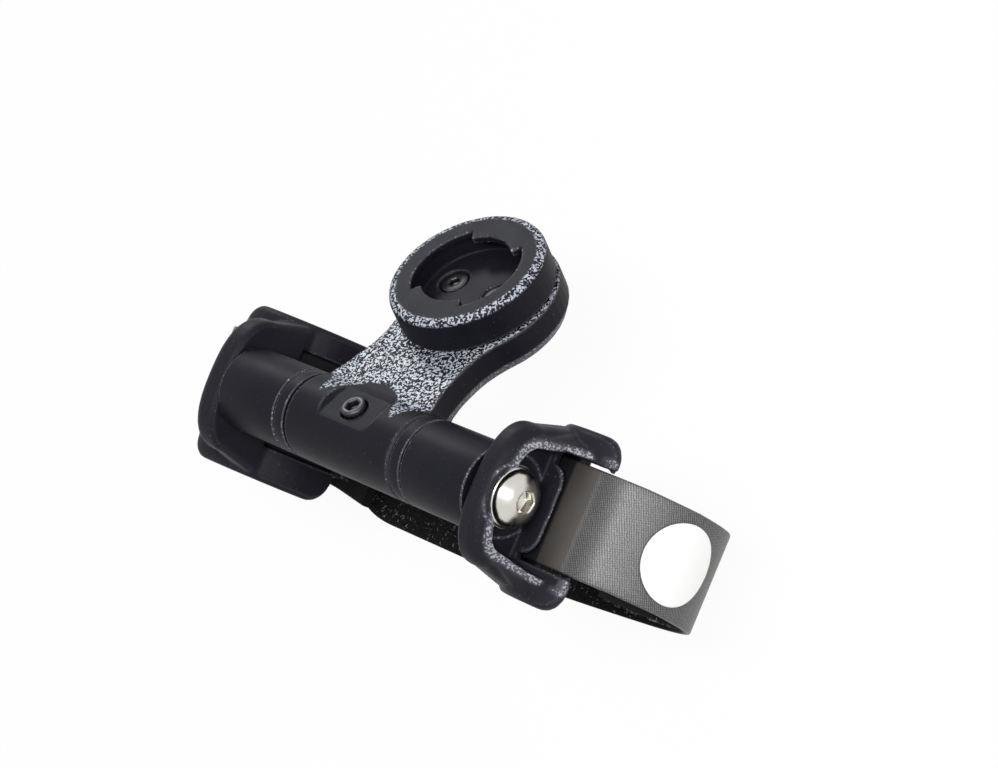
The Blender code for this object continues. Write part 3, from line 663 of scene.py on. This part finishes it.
def saddle_glints(mesh):
    """How much painted highlight each point of a saddle gets: along its rim, on its dish's edge and, a
    little, over the whole hood.
    """
    points = rows_of(mesh.vertices, "co") / MM
    outboard = np.abs(points[:, 0])
    outward = rows_of(mesh.vertices, "normal")[:, 0] * np.sign(points[:, 0])
    apart = np.full(len(points), 9.0)
    for along, up in rim_outline():
        apart = np.minimum(apart, np.hypot(points[:, 1] - along, points[:, 2] - up))
    # Painted highlights: the rim band, the dish's edge and the hood are made paler through the edge mask.
    band = (1 - ramp(apart, 1.1, 1.8)) * ramp(outward, 0.15, 0.4) * ramp(outboard, 33.0, 33.6)
    from_dish = np.abs(np.hypot(points[:, 1], points[:, 2] - HUB_RISE) - DISH_RADIUS)
    dish = (1 - ramp(from_dish, 0.1, 0.3)) * ramp(outward, 0.3, 0.5) * ramp(outboard, 30.5, 31.0)
    hood = ramp(outboard, 29.0, 30.0)
    return np.maximum(band, np.maximum(DISH_GLINT * dish, HOOD_GLINT * hood))


for side_name, saddle in saddles.items():
    # The painted highlight is raised into the edge mask.
    rim_glint = saddle_glints(saddle.data)
    raise_note(saddle.data, "edge", rim_glint)
    print(side_name, "saddle's worn points", int((rim_glint > 0.5).sum()))

# %% The mouldings ride on their bodies
for piece, node, body, slot in (
    (arm, "arm_body", "arm", "nylon_grain"),
    (cradle, "cradle_socket", "arm", "nylon"),
    (saddles["right"], "saddle_right", "right_saddle", "nylon"),
    (saddles["left"], "saddle_left", "left_saddle", "nylon"),
    (pads["right"], "pad_right", "right_saddle", "rubber"),
    (pads["left"], "pad_left", "left_saddle", "rubber"),
):
    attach(piece, body)
    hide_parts(node)
    print(piece.name, "rides on", body)

# %% [markdown]
# Turned pieces
#
# The sleeves, friction rings and washers are one rule: a section turned about the crossbar. A Geometry
# Nodes tree holds it once, with its sizes as named inputs, so six pieces are six sets of numbers.


# %% Geometry Nodes trees
def geometry_tree(name, inputs):
    """A new tree with named inputs: its group, a wrapper for adding nodes, and its inputs as wires."""
    group = bpy.data.node_groups.new(name, "GeometryNodeTree")
    group.interface.new_socket("Geometry", in_out="OUTPUT", socket_type="NodeSocketGeometry")
    for label, kind in inputs.items():
        group.interface.new_socket(label, in_out="INPUT", socket_type="NodeSocket" + kind)
    tree = Tree(group)
    given = group.nodes.new("NodeGroupInput")
    return group, tree, {socket.name: Wire(tree, socket) for socket in given.outputs if socket.name}


def end_tree(tree, geometry, finish):
    """End a tree: its instances made real, and its material set."""
    real = tree.add("GeometryNodeRealizeInstances", {}, {"Geometry": geometry})
    done = tree.add("GeometryNodeSetMaterial", {}, {"Geometry": real, "Material": finish})
    tree.join(done, tree.nodes.new("NodeGroupOutput").inputs[0])


def grown(name, group, values, finish, start=None):
    """Run a tree with these inputs and keep its result as a plain mesh."""
    holder = new_object(name + "_source", start or bpy.data.meshes.new(name + "_source"))
    step = holder.modifiers.new("grow", "NODES")
    step.node_group = group
    for item in group.interface.items_tree:
        if item.item_type == "SOCKET" and item.in_out == "INPUT" and item.name in values:
            step[item.identifier] = values[item.name]
    return plain_object(name, evaluated_mesh(holder), finish)


def circle(tree, count, radius):
    """A circle of so many points."""
    return tree.add("GeometryNodeCurvePrimitiveCircle", {}, {"Resolution": count, "Radius": radius})


def swept(tree, line, section):
    """A section swept along a line."""
    return tree.add("GeometryNodeCurveToMesh", {}, {"Curve": line, "Profile Curve": section})


print("tree helpers ready")


# %% One tree for every ring
def ring_tree():
    """A rounded section swept round a circle, about the X axis."""
    group, tree, value = geometry_tree("turned_ring", {
        "Low": "Float", "High": "Float", "Inner Radius": "Float", "Outer Radius": "Float",
        "Edge Radius": "Float", "Rise": "Float", "Finish": "Material"})
    wall = value["Outer Radius"] - value["Inner Radius"]
    middle = (value["Outer Radius"] + value["Inner Radius"]) * 0.5
    section = tree.add("GeometryNodeCurvePrimitiveQuadrilateral", {},
                       {"Width": wall, "Height": value["High"] - value["Low"]})
    section = tree.add("GeometryNodeFilletCurve", {"mode": "POLY"},
                       {"Curve": section, "Count": 5, "Radius": value["Edge Radius"]})
    ring = swept(tree, circle(tree, 160, middle), section)
    place = tree.add("ShaderNodeCombineXYZ", {},
                     {0: (value["Low"] + value["High"]) * 0.5, 2: value["Rise"]})
    moved = tree.add("GeometryNodeTransform", {},
                     {"Geometry": ring, "Translation": place, "Rotation": (0, math.pi / 2, 0)})
    end_tree(tree, moved, value["Finish"])
    return group


RING = ring_tree()
print("ring tree", len(RING.nodes), "nodes")

# %% Rings, sleeves and washers
GAP = 0.3
BORE_RADIUS = 4.5
RING_LOW = 12.6 + GAP
RING_HIGH = RING_LOW + 2.2
SLEEVE_END = 29.3
WASHER_LOW = 32.0
WASHER_HIGH = WASHER_LOW + 0.7
WASHER_BORE = 2.8
WASHER_RADIUS = 5.0
RING_GLINT = 0.6
for side, side_name in SIDES:
    for name, node, body, slot, low, high, inner, outer, edge, finish in (
        ("friction_ring_turned_", "friction_ring_", "crossbar", "rubber",
         RING_LOW, RING_HIGH, BORE_RADIUS, TUBE_RADIUS, 0.22, RUBBER),
        ("sleeve_turned_", "sleeve_", "crossbar", "nylon",
         RING_HIGH + GAP, SLEEVE_END, BORE_RADIUS, TUBE_RADIUS, 0.25, NYLON),
        ("washer_turned_", "washer_", side_name + "_saddle", "stainless",
         WASHER_LOW, WASHER_HIGH, WASHER_BORE, WASHER_RADIUS, 0.15, STAINLESS),
    ):
        ends = sorted((side * low * MM, side * high * MM))
        sizes = {"Low": ends[0], "High": ends[1], "Inner Radius": inner * MM, "Outer Radius": outer * MM,
                 "Edge Radius": edge * MM, "Rise": HUB_RISE * MM, "Finish": finish}
        ring = grown(name + side_name, RING, sizes, finish)
        middles = np.array([face.center for face in ring.data.polygons]) / MM - HUB
        to_end = np.minimum(np.abs(middles[:, 0] - ends[0] / MM), np.abs(middles[:, 0] - ends[1] / MM))
        outside = np.hypot(middles[:, 1], middles[:, 2]) > outer - edge
        # Painted highlight on the rounded outer ends; only the nylon and rubber finishes read it.
        note(ring.data, "edge", RING_GLINT * ((to_end < edge) & outside), "FACE")
        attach(ring, body)
        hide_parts(node + side_name)
        print(ring.name, len(ring.data.polygons), "faces")

# %% [markdown]
# Screws and bolts
#
# A screw is turned too, but its drive is a hexagon. A cut would leave ragged faces round the hole. Here
# each ring of points has a radius and a share of hexagon, so the head runs into its socket in even faces.


# %% Rows of points as faces
def bridge(made, rows):
    """Faces between closed rows of points."""
    for first, second in zip(rows, rows[1:]):
        for i in range(len(first)):
            j = (i + 1) % len(first)
            made.faces.new((first[i], first[j], second[j], second[i]))


def close_row(made, row, spot):
    """A fan of triangles from a row of points to one point."""
    tip = made.verts.new(spot)
    for i in range(len(row)):
        made.faces.new((row[i], row[(i + 1) % len(row)], tip))


def turned(*spots):
    """Section points (along, radius) of a fully round stretch."""
    return [(along, radius, 0.0) for along, radius in spots]


def rounded_corner(along, radius, size, start, end):
    """Section points of a small arc, about a centre given along and out, between two angles."""
    angles = [math.radians(start + (end - start) * i / 4) for i in range(5)]
    return turned(*[(along + size * math.sin(angle), radius + size * math.cos(angle)) for angle in angles])


def socket_points(top, corner, depth):
    """The hexagon socket: a broken rim, straight walls and a drilled floor."""
    return [(top, corner + 0.22, 0.6), (top - 0.06, corner + 0.08, 0.9), (top - 0.2, corner, 1.0),
            (top - depth, corner, 1.0), (top - depth - 0.05, corner * 0.92, 0.9),
            (top - depth - 0.25, corner * 0.45, 0.2), (top - depth - 0.4, 0.15, 0.0)]


print("socket points", len(socket_points(0.0, 1.0, 1.0)))

# %% A turned screw
SCREW_POINTS = 96
SIXTH = math.radians(60)


def screw_mesh(name, profile, centre, axis):
    """Rings of points at (along, radius, share of hexagon), closed by a point at each end."""
    side = axis.orthogonal().normalized()
    other = axis.cross(side)
    made = bmesh.new()
    rows = []
    for along, radius, hexagon in profile:
        row = []
        for i in range(SCREW_POINTS):
            angle = 2 * math.pi * i / SCREW_POINTS
            flat = SIXTH / 2 - math.fmod(angle, SIXTH)
            reach = radius * (1 - hexagon + hexagon * math.cos(SIXTH / 2) / math.cos(flat))
            outward = math.cos(angle) * side + math.sin(angle) * other
            row.append(made.verts.new((centre + axis * along + outward * reach) * MM))
        rows.append(row)
    bridge(made, rows)
    for row, along in ((rows[0], profile[0][0]), (rows[-1], profile[-1][0])):
        close_row(made, row, (centre + axis * along) * MM)
    return mesh_from(name, made, closed=True)


print("screws have", SCREW_POINTS, "points round")

# %% End bolts
BOLT_FACE = 33.0
BOLT_LENGTH = 14.0
BOLT_RADIUS = 2.5
BOLT_KEY = 3.0
THREAD_ROOT = 2.15
THREAD_PITCH = 0.8
HEAD_RADIUS = 4.75
HEAD_HEIGHT = 2.75
FLANGE_HEIGHT = 0.5
CROWN_ANGLE = 66.0
HUB_POINT = Vector(HUB)


def bolt_profile():
    """The bolt from its tip: threads, a flange with a rounded rim, a domed head and its socket."""
    tip = BOLT_FACE - BOLT_LENGTH
    profile = turned((tip, 1.9), (tip + 0.5, 2.42))
    for i in range(int((BOLT_LENGTH - 1.4) / THREAD_PITCH)):
        foot = tip + 0.7 + THREAD_PITCH * i
        profile += turned((foot, BOLT_RADIUS), (foot + 0.15, BOLT_RADIUS),
                          (foot + 0.4, THREAD_ROOT), (foot + 0.65, BOLT_RADIUS))
    profile += turned((BOLT_FACE, BOLT_RADIUS))
    profile += rounded_corner(BOLT_FACE + 0.2, HEAD_RADIUS - 0.2, 0.2, -90, 60)
    profile += turned((BOLT_FACE + 0.42, HEAD_RADIUS - 0.38), (BOLT_FACE + 0.46, HEAD_RADIUS - 0.44))
    crown = (HEAD_HEIGHT - FLANGE_HEIGHT) / math.sin(math.radians(CROWN_ANGLE))
    for i in range(19):
        angle = math.radians(CROWN_ANGLE * i / 18)
        profile += turned((BOLT_FACE + FLANGE_HEIGHT + crown * math.sin(angle),
                           (HEAD_RADIUS - 0.28) * math.cos(angle)))
    return profile + socket_points(BOLT_FACE + HEAD_HEIGHT, BOLT_KEY / math.sqrt(3), 1.6)


for side, side_name in SIDES:
    mesh = screw_mesh("end_bolt", bolt_profile(), HUB_POINT, Vector((side, 0, 0)))
    bolt = plain_object("end_bolt_turned_" + side_name, mesh, STAINLESS)
    bolt.data.set_sharp_from_angle(angle=math.radians(40))
    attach(bolt, side_name + "_saddle")
    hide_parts("end_bolt_" + side_name)
print("bolts", len(bolt.data.polygons), "faces each")

# %% The clamp screw and the two cradle screws
UP = Vector(ARM_UP)
OUT = Vector(ARM_OUT)
CLAMP_LOW = 4.5
CLAMP_TOP = CLAMP_LOW + 2.4
CLAMP_KEY = 2.0
CRADLE_FLOOR = 5.5 + 1.7
SCREW_LOW = CRADLE_FLOOR - 6.4
SCREW_TOP = CRADLE_FLOOR - 0.1
SCREW_SPREAD = 5.0

# The set screw has a cup point and a broken top edge.
profile = turned((CLAMP_LOW, 1.2), (CLAMP_LOW + 0.5, 1.95), (CLAMP_LOW + 0.6, 2.0),
                 (CLAMP_TOP - 0.3, 2.0), (CLAMP_TOP - 0.1, 1.9), (CLAMP_TOP, 1.72))
profile += socket_points(CLAMP_TOP, CLAMP_KEY / math.sqrt(3), 1.2)
clamp = plain_object("clamp_screw_turned", screw_mesh("clamp", profile, HUB_POINT, UP), BLACK_STEEL)
small_screws = [(clamp, "clamp_screw")]

# The countersunk screws have a cone and a flat head just under the cradle's floor.
profile = turned((SCREW_LOW, 0.9), (SCREW_LOW + 0.4, 1.25), (SCREW_TOP - 0.3 - 1.05, 1.25),
                 (SCREW_TOP - 0.3, 2.3), (SCREW_TOP - 0.08, 2.28), (SCREW_TOP, 2.15))
profile += socket_points(SCREW_TOP, 0.85, 0.9)
for side, side_name in SIDES:
    centre = HUB_POINT + HEAD_REACH * OUT + Vector((side * SCREW_SPREAD, 0, 0))
    mesh = screw_mesh("cradle_screw", profile, centre, UP)
    screw = plain_object("cradle_screw_turned_" + side_name, mesh, BLACK_STEEL)
    small_screws.append((screw, "cradle_screw_" + side_name))
for screw, node in small_screws:
    screw.data.set_sharp_from_angle(angle=math.radians(40))
    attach(screw, "arm")
    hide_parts(node)
print("small screws", len(small_screws))

# %% The rod keeps its CAD shape
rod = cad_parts["core_rod"]
rod.data.materials.clear()
rod.data.materials.append(ALUMINIUM)
print("rod in", ALUMINIUM.name)

# %% [markdown]
# The two straps
#
# Each strap is one long band: under the seat, over the saddle's tongue, down through its slot and round
# again on itself. Cloth simulation would have to wind it, so its middle line is written as distances from
# the seat's axis by angle, the line its CAD solid follows, and a section with soft edges is swept along it.

# %% The band's middle line
SEAT_X = 38.8
STRAP_WIDTH = 16.0
STRAP_THICKNESS = 1.6
STRAP_OFFSET = 0.6
INNER_LAYER = 12.2
TONGUE_LAYER = 14.4
OUTER_LAYER = 14.05
STRAP_START = 42.0
TONGUE_END = 315.0
WRAP_END_RIGHT = 540.0
WRAP_END_LEFT = 556.0
# Angles in degrees from the top, with the band's distance from the seat's axis.
STATIONS = ((STRAP_START, INNER_LAYER), (238.0, INNER_LAYER), (265.0, TONGUE_LAYER),
            (TONGUE_END, TONGUE_LAYER), (348.0, INNER_LAYER), (371.0, INNER_LAYER), (398.0, OUTER_LAYER),
            (900.0, OUTER_LAYER))
# Angles in degrees, with the band's place along the seat.
DRIFT = ((STRAP_START, -0.3), (70.0, -0.5), (190.0, -0.4), (238.0, STRAP_OFFSET), (405.0, STRAP_OFFSET),
         (440.0, 0.27), (457.0, -0.07), (480.0, -0.5), (540.0, -1.9), (572.0, -2.4))


def band_radius(degrees):
    """Distance of the band's middle from the seat's axis: straight where it dives off the tongue."""
    for (low, first), (high, second) in zip(STATIONS, STATIONS[1:]):
        if degrees > high:
            continue
        if low == TONGUE_END:
            weights = (first * math.sin(math.radians(degrees - low))
                       + second * math.sin(math.radians(high - degrees)))
            return first * second * math.sin(math.radians(high - low)) / weights
        share = (degrees - low) / (high - low)
        return first + (second - first) * (3 * share ** 2 - 2 * share ** 3)
    return OUTER_LAYER


def band_shift(degrees):
    """Place of the band's middle along the seat: the two turns don't lie quite on each other."""
    return float(np.interp(degrees, *zip(*DRIFT)))


print("band", STRAP_WIDTH, "by", STRAP_THICKNESS, "mm")

# %% Wound part and free ends
WOUND_STEP = 1.5
TAIL_REACH = 32.5
TAIL_DROOP = 2.6
TAIL_DRIFT = -2.2
TAIL_CORNER = 9.5
TAIL_NARROWING = 3.2
SHORT_END = 9.6
SHORT_SKEW = 0.08


def wound_line(end):
    """Points (x, z, shift along the seat, half width) of the wound part, up to an angle."""
    count = round((end - STRAP_START) / WOUND_STEP)
    line = []
    for i in range(count + 1):
        degrees = STRAP_START + (end - STRAP_START) * i / count
        radius = band_radius(degrees)
        angle = math.radians(degrees)
        line.append((SEAT_X + radius * math.sin(angle), radius * math.cos(angle), band_shift(degrees),
                     STRAP_WIDTH / 2))
    return line


def tail_line():
    """The right strap's free end: it leaves the bottom, drifts back, sinks and ends in rounded corners."""
    run = SEAT_X + TAIL_REACH
    reaches = [run * (0.03 + 0.83 * i / 60) for i in range(61)]
    reaches += [run - TAIL_CORNER * (1 - math.sin(math.radians(i * 4.5))) for i in range(1, 21)]
    line = []
    for reach in sorted(reaches):
        share = reach / run
        bend = max(0.0, 1 - (run - reach) / TAIL_CORNER)
        half = STRAP_WIDTH / 2 - TAIL_NARROWING * (1 - math.sqrt(max(0.0, 1 - bend ** 2)))
        shift = band_shift(WRAP_END_RIGHT) + TAIL_DRIFT * math.sin(math.pi / 2 * min(1, share / 0.6))
        line.append((SEAT_X - reach, -OUTER_LAYER - TAIL_DROOP * share ** 2, shift, half))
    return line


def short_line():
    """The left strap's free end: it leaves the seat straight, a little askew."""
    x, z, shift, half = wound_line(WRAP_END_LEFT)[-1]
    angle = math.radians(WRAP_END_LEFT)
    return [(x + run * math.cos(angle), z - run * math.sin(angle), shift - SHORT_SKEW * run, half)
            for run in np.linspace(0.4, SHORT_END, 24)]


print("tail", len(tail_line()), "stations")

# %% The band's section
SOFT_EDGE = 0.34
FACE_LEVEL = STRAP_THICKNESS / 2


def band_section(half):
    """Points (across, out) of the band's section, with soft corners and even steps over both faces."""
    corners = []
    for quarter, way, out in ((0, 1, 1), (1, -1, 1), (2, -1, -1), (3, 1, -1)):
        for i in range(4):
            angle = math.radians(90 * quarter + 30 * i)
            corners.append((way * (half - SOFT_EDGE) + SOFT_EDGE * math.cos(angle),
                            out * (FACE_LEVEL - SOFT_EDGE) + SOFT_EDGE * math.sin(angle)))
    shares = [1 - 2 * i / 10 for i in range(1, 10)]
    top = corners[:4] + [(half * share, FACE_LEVEL) for share in shares] + corners[4:8]
    under = corners[8:12] + [(-half * share, -FACE_LEVEL) for share in shares] + corners[12:]
    return top + under


def face_out(line, i):
    """The direction out of the band's face at one station of its line."""
    before = line[max(0, i - 1)]
    after = line[min(len(line) - 1, i + 1)]
    run = Vector((after[0] - before[0], 0, after[1] - before[1])).normalized()
    return Vector((-run.z, 0, run.x))


def band_point(station, out, across, level, side):
    """A point in metres, from its place across the band and its level over the band's middle."""
    x, z, shift, _ = station
    spot = Vector((x, shift + across, z)) + out * level
    return side * spot.x * MM, spot.y * MM, spot.z * MM


print("section", len(band_section(STRAP_WIDTH / 2)), "points")

# %% Sweep the band
WOVEN_FROM = 370.5
SMOOTH_LEAD = 4.7
CUT_END = 0.4


def note_faces(mesh, lengths, count):
    """Note where the band is woven, and where it is dark: loops inside and at its cut, and painted shade on
    its outer face up to the smooth lead, where it runs in the slot.
    """
    start = lengths[round((WOVEN_FROM - STRAP_START) / WOUND_STEP)]
    end = lengths[-1]
    walk = np.repeat(np.array(lengths), count)
    outer_side = np.tile(np.arange(count) < count / 2, len(lengths))
    smooth = ramp(walk, start - SMOOTH_LEAD, start - SMOOTH_LEAD + 0.5)
    smooth = smooth * (1 - ramp(walk, end - CUT_END, end - CUT_END + 0.1))
    note(mesh, "woven", ramp(walk, start, start + 0.6))
    # Painted shade: the outer face before the smooth lead is marked as pile, dark like loops, where it runs
    # in the slot.
    note(mesh, "pile", np.where(outer_side, 1 - smooth, 1.0))


def band_mesh(name, line, side):
    """The closed band with its length and width in metres as its UV map, and its whole length."""
    made = bmesh.new()
    uv = made.loops.layers.uv.new("UVMap")
    rows = []
    lengths = []
    walked = 0.0
    for i, station in enumerate(line):
        if i:
            walked += math.dist(station[:2], line[i - 1][:2])
        lengths.append(walked)
        out = face_out(line, i)
        rows.append([(made.verts.new(band_point(station, out, across, level, side)), across)
                     for across, level in band_section(station[3])])
    count = len(rows[0])
    for i in range(len(rows) - 1):
        for j in range(count):
            k = (j + 1) % count
            corners = ((rows[i][j], i), (rows[i][k], i), (rows[i + 1][k], i + 1), (rows[i + 1][j], i + 1))
            face = made.faces.new([corner[0][0] for corner in corners])
            for loop, ((_, across), station) in zip(face.loops, corners):
                loop[uv].uv = (lengths[station] * MM, across * MM)
    for row, length_now in ((rows[0], 0.0), (rows[-1], walked)):
        face = made.faces.new([vert for vert, _ in row])
        for loop, (_, across) in zip(face.loops, row):
            loop[uv].uv = (length_now * MM, across * MM)
    mesh = mesh_from(name, made, closed=True)
    note_faces(mesh, lengths, count)
    return mesh, walked * MM


straps = {}
for side, side_name, line in ((1, "right", wound_line(WRAP_END_RIGHT) + tail_line()),
                              (-1, "left", wound_line(WRAP_END_LEFT) + short_line())):
    mesh, length_now = band_mesh("strap_" + side_name, line, side)
    strap = plain_object("strap_band_" + side_name, mesh, WEBBING)
    strap.data.set_sharp_from_angle(angle=math.radians(50))
    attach(strap, side_name + "_saddle")
    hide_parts("strap_" + side_name)
    straps[side_name] = strap
    straps[side_name + "_length"] = length_now
    print(strap.name, "is", round(length_now / MM, 1), "mm long")

# %% [markdown]
# Loops on the bands
#
# The inner face of such a band is a pile of tiny loops, and its cut edges fray into them. Fur would give
# straight hairs, so a Geometry Nodes tree scatters one small ring of thread over a surface, each turned and
# sized at random from a fixed seed. It stands them on strips laid on the band's inner face and edges.


# %% One tree for every patch of loops
def loop_tree():
    """Small rings of thread, stood upright at random over a surface."""
    group, tree, value = geometry_tree("loop_pile", {
        "Surface": "Geometry", "Density": "Float", "Loop Radius": "Float", "Thread Radius": "Float",
        "Lift": "Float", "Seed": "Int", "Finish": "Material"})
    loop = swept(tree, circle(tree, 7, value["Loop Radius"]), circle(tree, 3, value["Thread Radius"]))
    lift = tree.add("ShaderNodeCombineXYZ", {}, {2: value["Lift"]})
    upright = tree.add("GeometryNodeTransform", {},
                       {"Geometry": loop, "Translation": lift, "Rotation": (math.pi / 2, 0, 0)})
    spots = tree.add("GeometryNodeDistributePointsOnFaces", {}, {
        "Mesh": value["Surface"], "Density": value["Density"], "Seed": value["Seed"]}, "Points")
    spin = tree.add("FunctionNodeRandomValue", {"data_type": "FLOAT_VECTOR"},
                    {0: (-0.5, -0.5, 0.0), 1: (0.5, 0.5, 2 * math.pi), "Seed": value["Seed"]})
    spin = tree.add("FunctionNodeEulerToRotation", {}, {0: spin})
    turned_way = tree.add("FunctionNodeRotateRotation", {"rotation_space": "LOCAL"},
                          {0: Wire(tree, spots.socket.node.outputs["Rotation"]), 1: spin})
    size = tree.add("FunctionNodeRandomValue", {"data_type": "FLOAT"},
                    {2: 0.6, 3: 1.3, "Seed": value["Seed"] + 1}, 1)
    placed = tree.add("GeometryNodeInstanceOnPoints", {},
                      {"Points": spots, "Instance": upright, "Rotation": turned_way, "Scale": size})
    chance = tree.add("FunctionNodeRandomValue", {"data_type": "FLOAT"}, {"Seed": value["Seed"] + 2}, 1)
    marked = tree.add("GeometryNodeStoreNamedAttribute", {"data_type": "FLOAT", "domain": "INSTANCE"},
                      {"Geometry": placed, "Name": "tuft", "Value": chance})
    end_tree(tree, marked, value["Finish"])
    return group


LOOPS = loop_tree()
print("loop tree", len(LOOPS.nodes), "nodes")


# %% Strips for the loops to stand on
def strip_mesh(name, line, side, first, last):
    """A strip along a band, between two places (share of its half width, level) of its section."""
    made = bmesh.new()
    rows = []
    for i, station in enumerate(line):
        out = face_out(line, i)
        rows.append([made.verts.new(band_point(station, out, share * station[3], level, side))
                     for share, level in (first, last)])
    for one, two in zip(rows, rows[1:]):
        corners = (one[0], one[1], two[1], two[0])
        made.faces.new(corners if side > 0 else corners[::-1])
    return mesh_from(name, made)


INNER_TURN = wound_line(236.0)
FIRST_SEED = 7
# Each patch: its line, its strip's two edges, loops per square metre, then loop and thread radius and lift.
PATCHES = [("face", INNER_TURN, (0.94, -FACE_LEVEL), (-0.94, -FACE_LEVEL), 1.1e6, 0.19, 0.055, 0.02),
           ("near", INNER_TURN, (-1.0, -FACE_LEVEL), (-1.0, FACE_LEVEL), 2.2e6, 0.36, 0.065, 0.14),
           ("far", INNER_TURN, (1.0, FACE_LEVEL), (1.0, -FACE_LEVEL), 2.2e6, 0.34, 0.065, 0.10)]
TAIL_PATCH = ("tail", tail_line(), (0.95, -FACE_LEVEL), (-0.95, -FACE_LEVEL), 3.4e6, 0.24, 0.085, 0.12)
print("patches", len(PATCHES), "on each band and one on the tail")

for side, side_name in SIDES:
    patches = PATCHES + [TAIL_PATCH] if side > 0 else PATCHES
    for i, (label, line, first, last, density, loop_radius, thread_radius, lift) in enumerate(patches):
        surface = strip_mesh("loops_" + label, line, side, first, last)
        sizes = {"Density": density, "Loop Radius": loop_radius * MM, "Thread Radius": thread_radius * MM,
                 "Lift": lift * MM, "Seed": FIRST_SEED + i, "Finish": THREAD}
        pile = grown("strap_loops_" + label + "_" + side_name, LOOPS, sizes, THREAD, surface)
        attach(pile, side_name + "_saddle")
        print(pile.name, len(pile.data.polygons), "faces")
    straps[side_name + "_length"]

# %% [markdown]
# The white disc
#
# A round of white film is stuck on the right strap. A flat disc would stand off the curved band at its
# sides, so each ring of its points is wrapped round the band's outer layer, with a small rounded rim.

# %% Disc
DISC_BASE = OUTER_LAYER + FACE_LEVEL + 0.25
DISC_RADIUS = 6.25
DISC_THICKNESS = 0.3
DISC_ANGLE = 78.7
DISC_OFFSET = 0.2
DISC_POINTS = 96


def disc_point(reach, around, lift):
    """A point in metres, from its reach and angle about the disc's middle and its lift off the band."""
    angle = math.radians(DISC_ANGLE + math.degrees(reach * math.cos(around) / DISC_BASE))
    out = DISC_BASE + lift
    return ((SEAT_X + out * math.sin(angle)) * MM, (DISC_OFFSET + reach * math.sin(around)) * MM,
            out * math.cos(angle) * MM)


def disc_mesh():
    """A thin disc bent round the strap, with a rounded rim."""
    levels = [(DISC_RADIUS * share, DISC_THICKNESS) for share in (0.15, 0.3, 0.45, 0.6, 0.75, 0.88, 0.95)]
    levels += [(DISC_RADIUS - 0.1, DISC_THICKNESS), (DISC_RADIUS - 0.03, DISC_THICKNESS - 0.04),
               (DISC_RADIUS, DISC_THICKNESS - 0.12), (DISC_RADIUS, 0.0)]
    made = bmesh.new()
    rows = []
    for reach, lift in levels:
        rows.append([made.verts.new(disc_point(reach, 2 * math.pi * i / DISC_POINTS, lift))
                     for i in range(DISC_POINTS)])
    bridge(made, rows)
    made.faces.new(rows[0])
    close_row(made, rows[-1], disc_point(0.0, 0.0, 0.0))
    return mesh_from("disc", made, closed=True)


disc = plain_object("strap_disc", disc_mesh(), FILM)
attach(disc, "right_saddle")
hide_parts("strap_dot")
print("disc", len(disc.data.polygons), "faces")
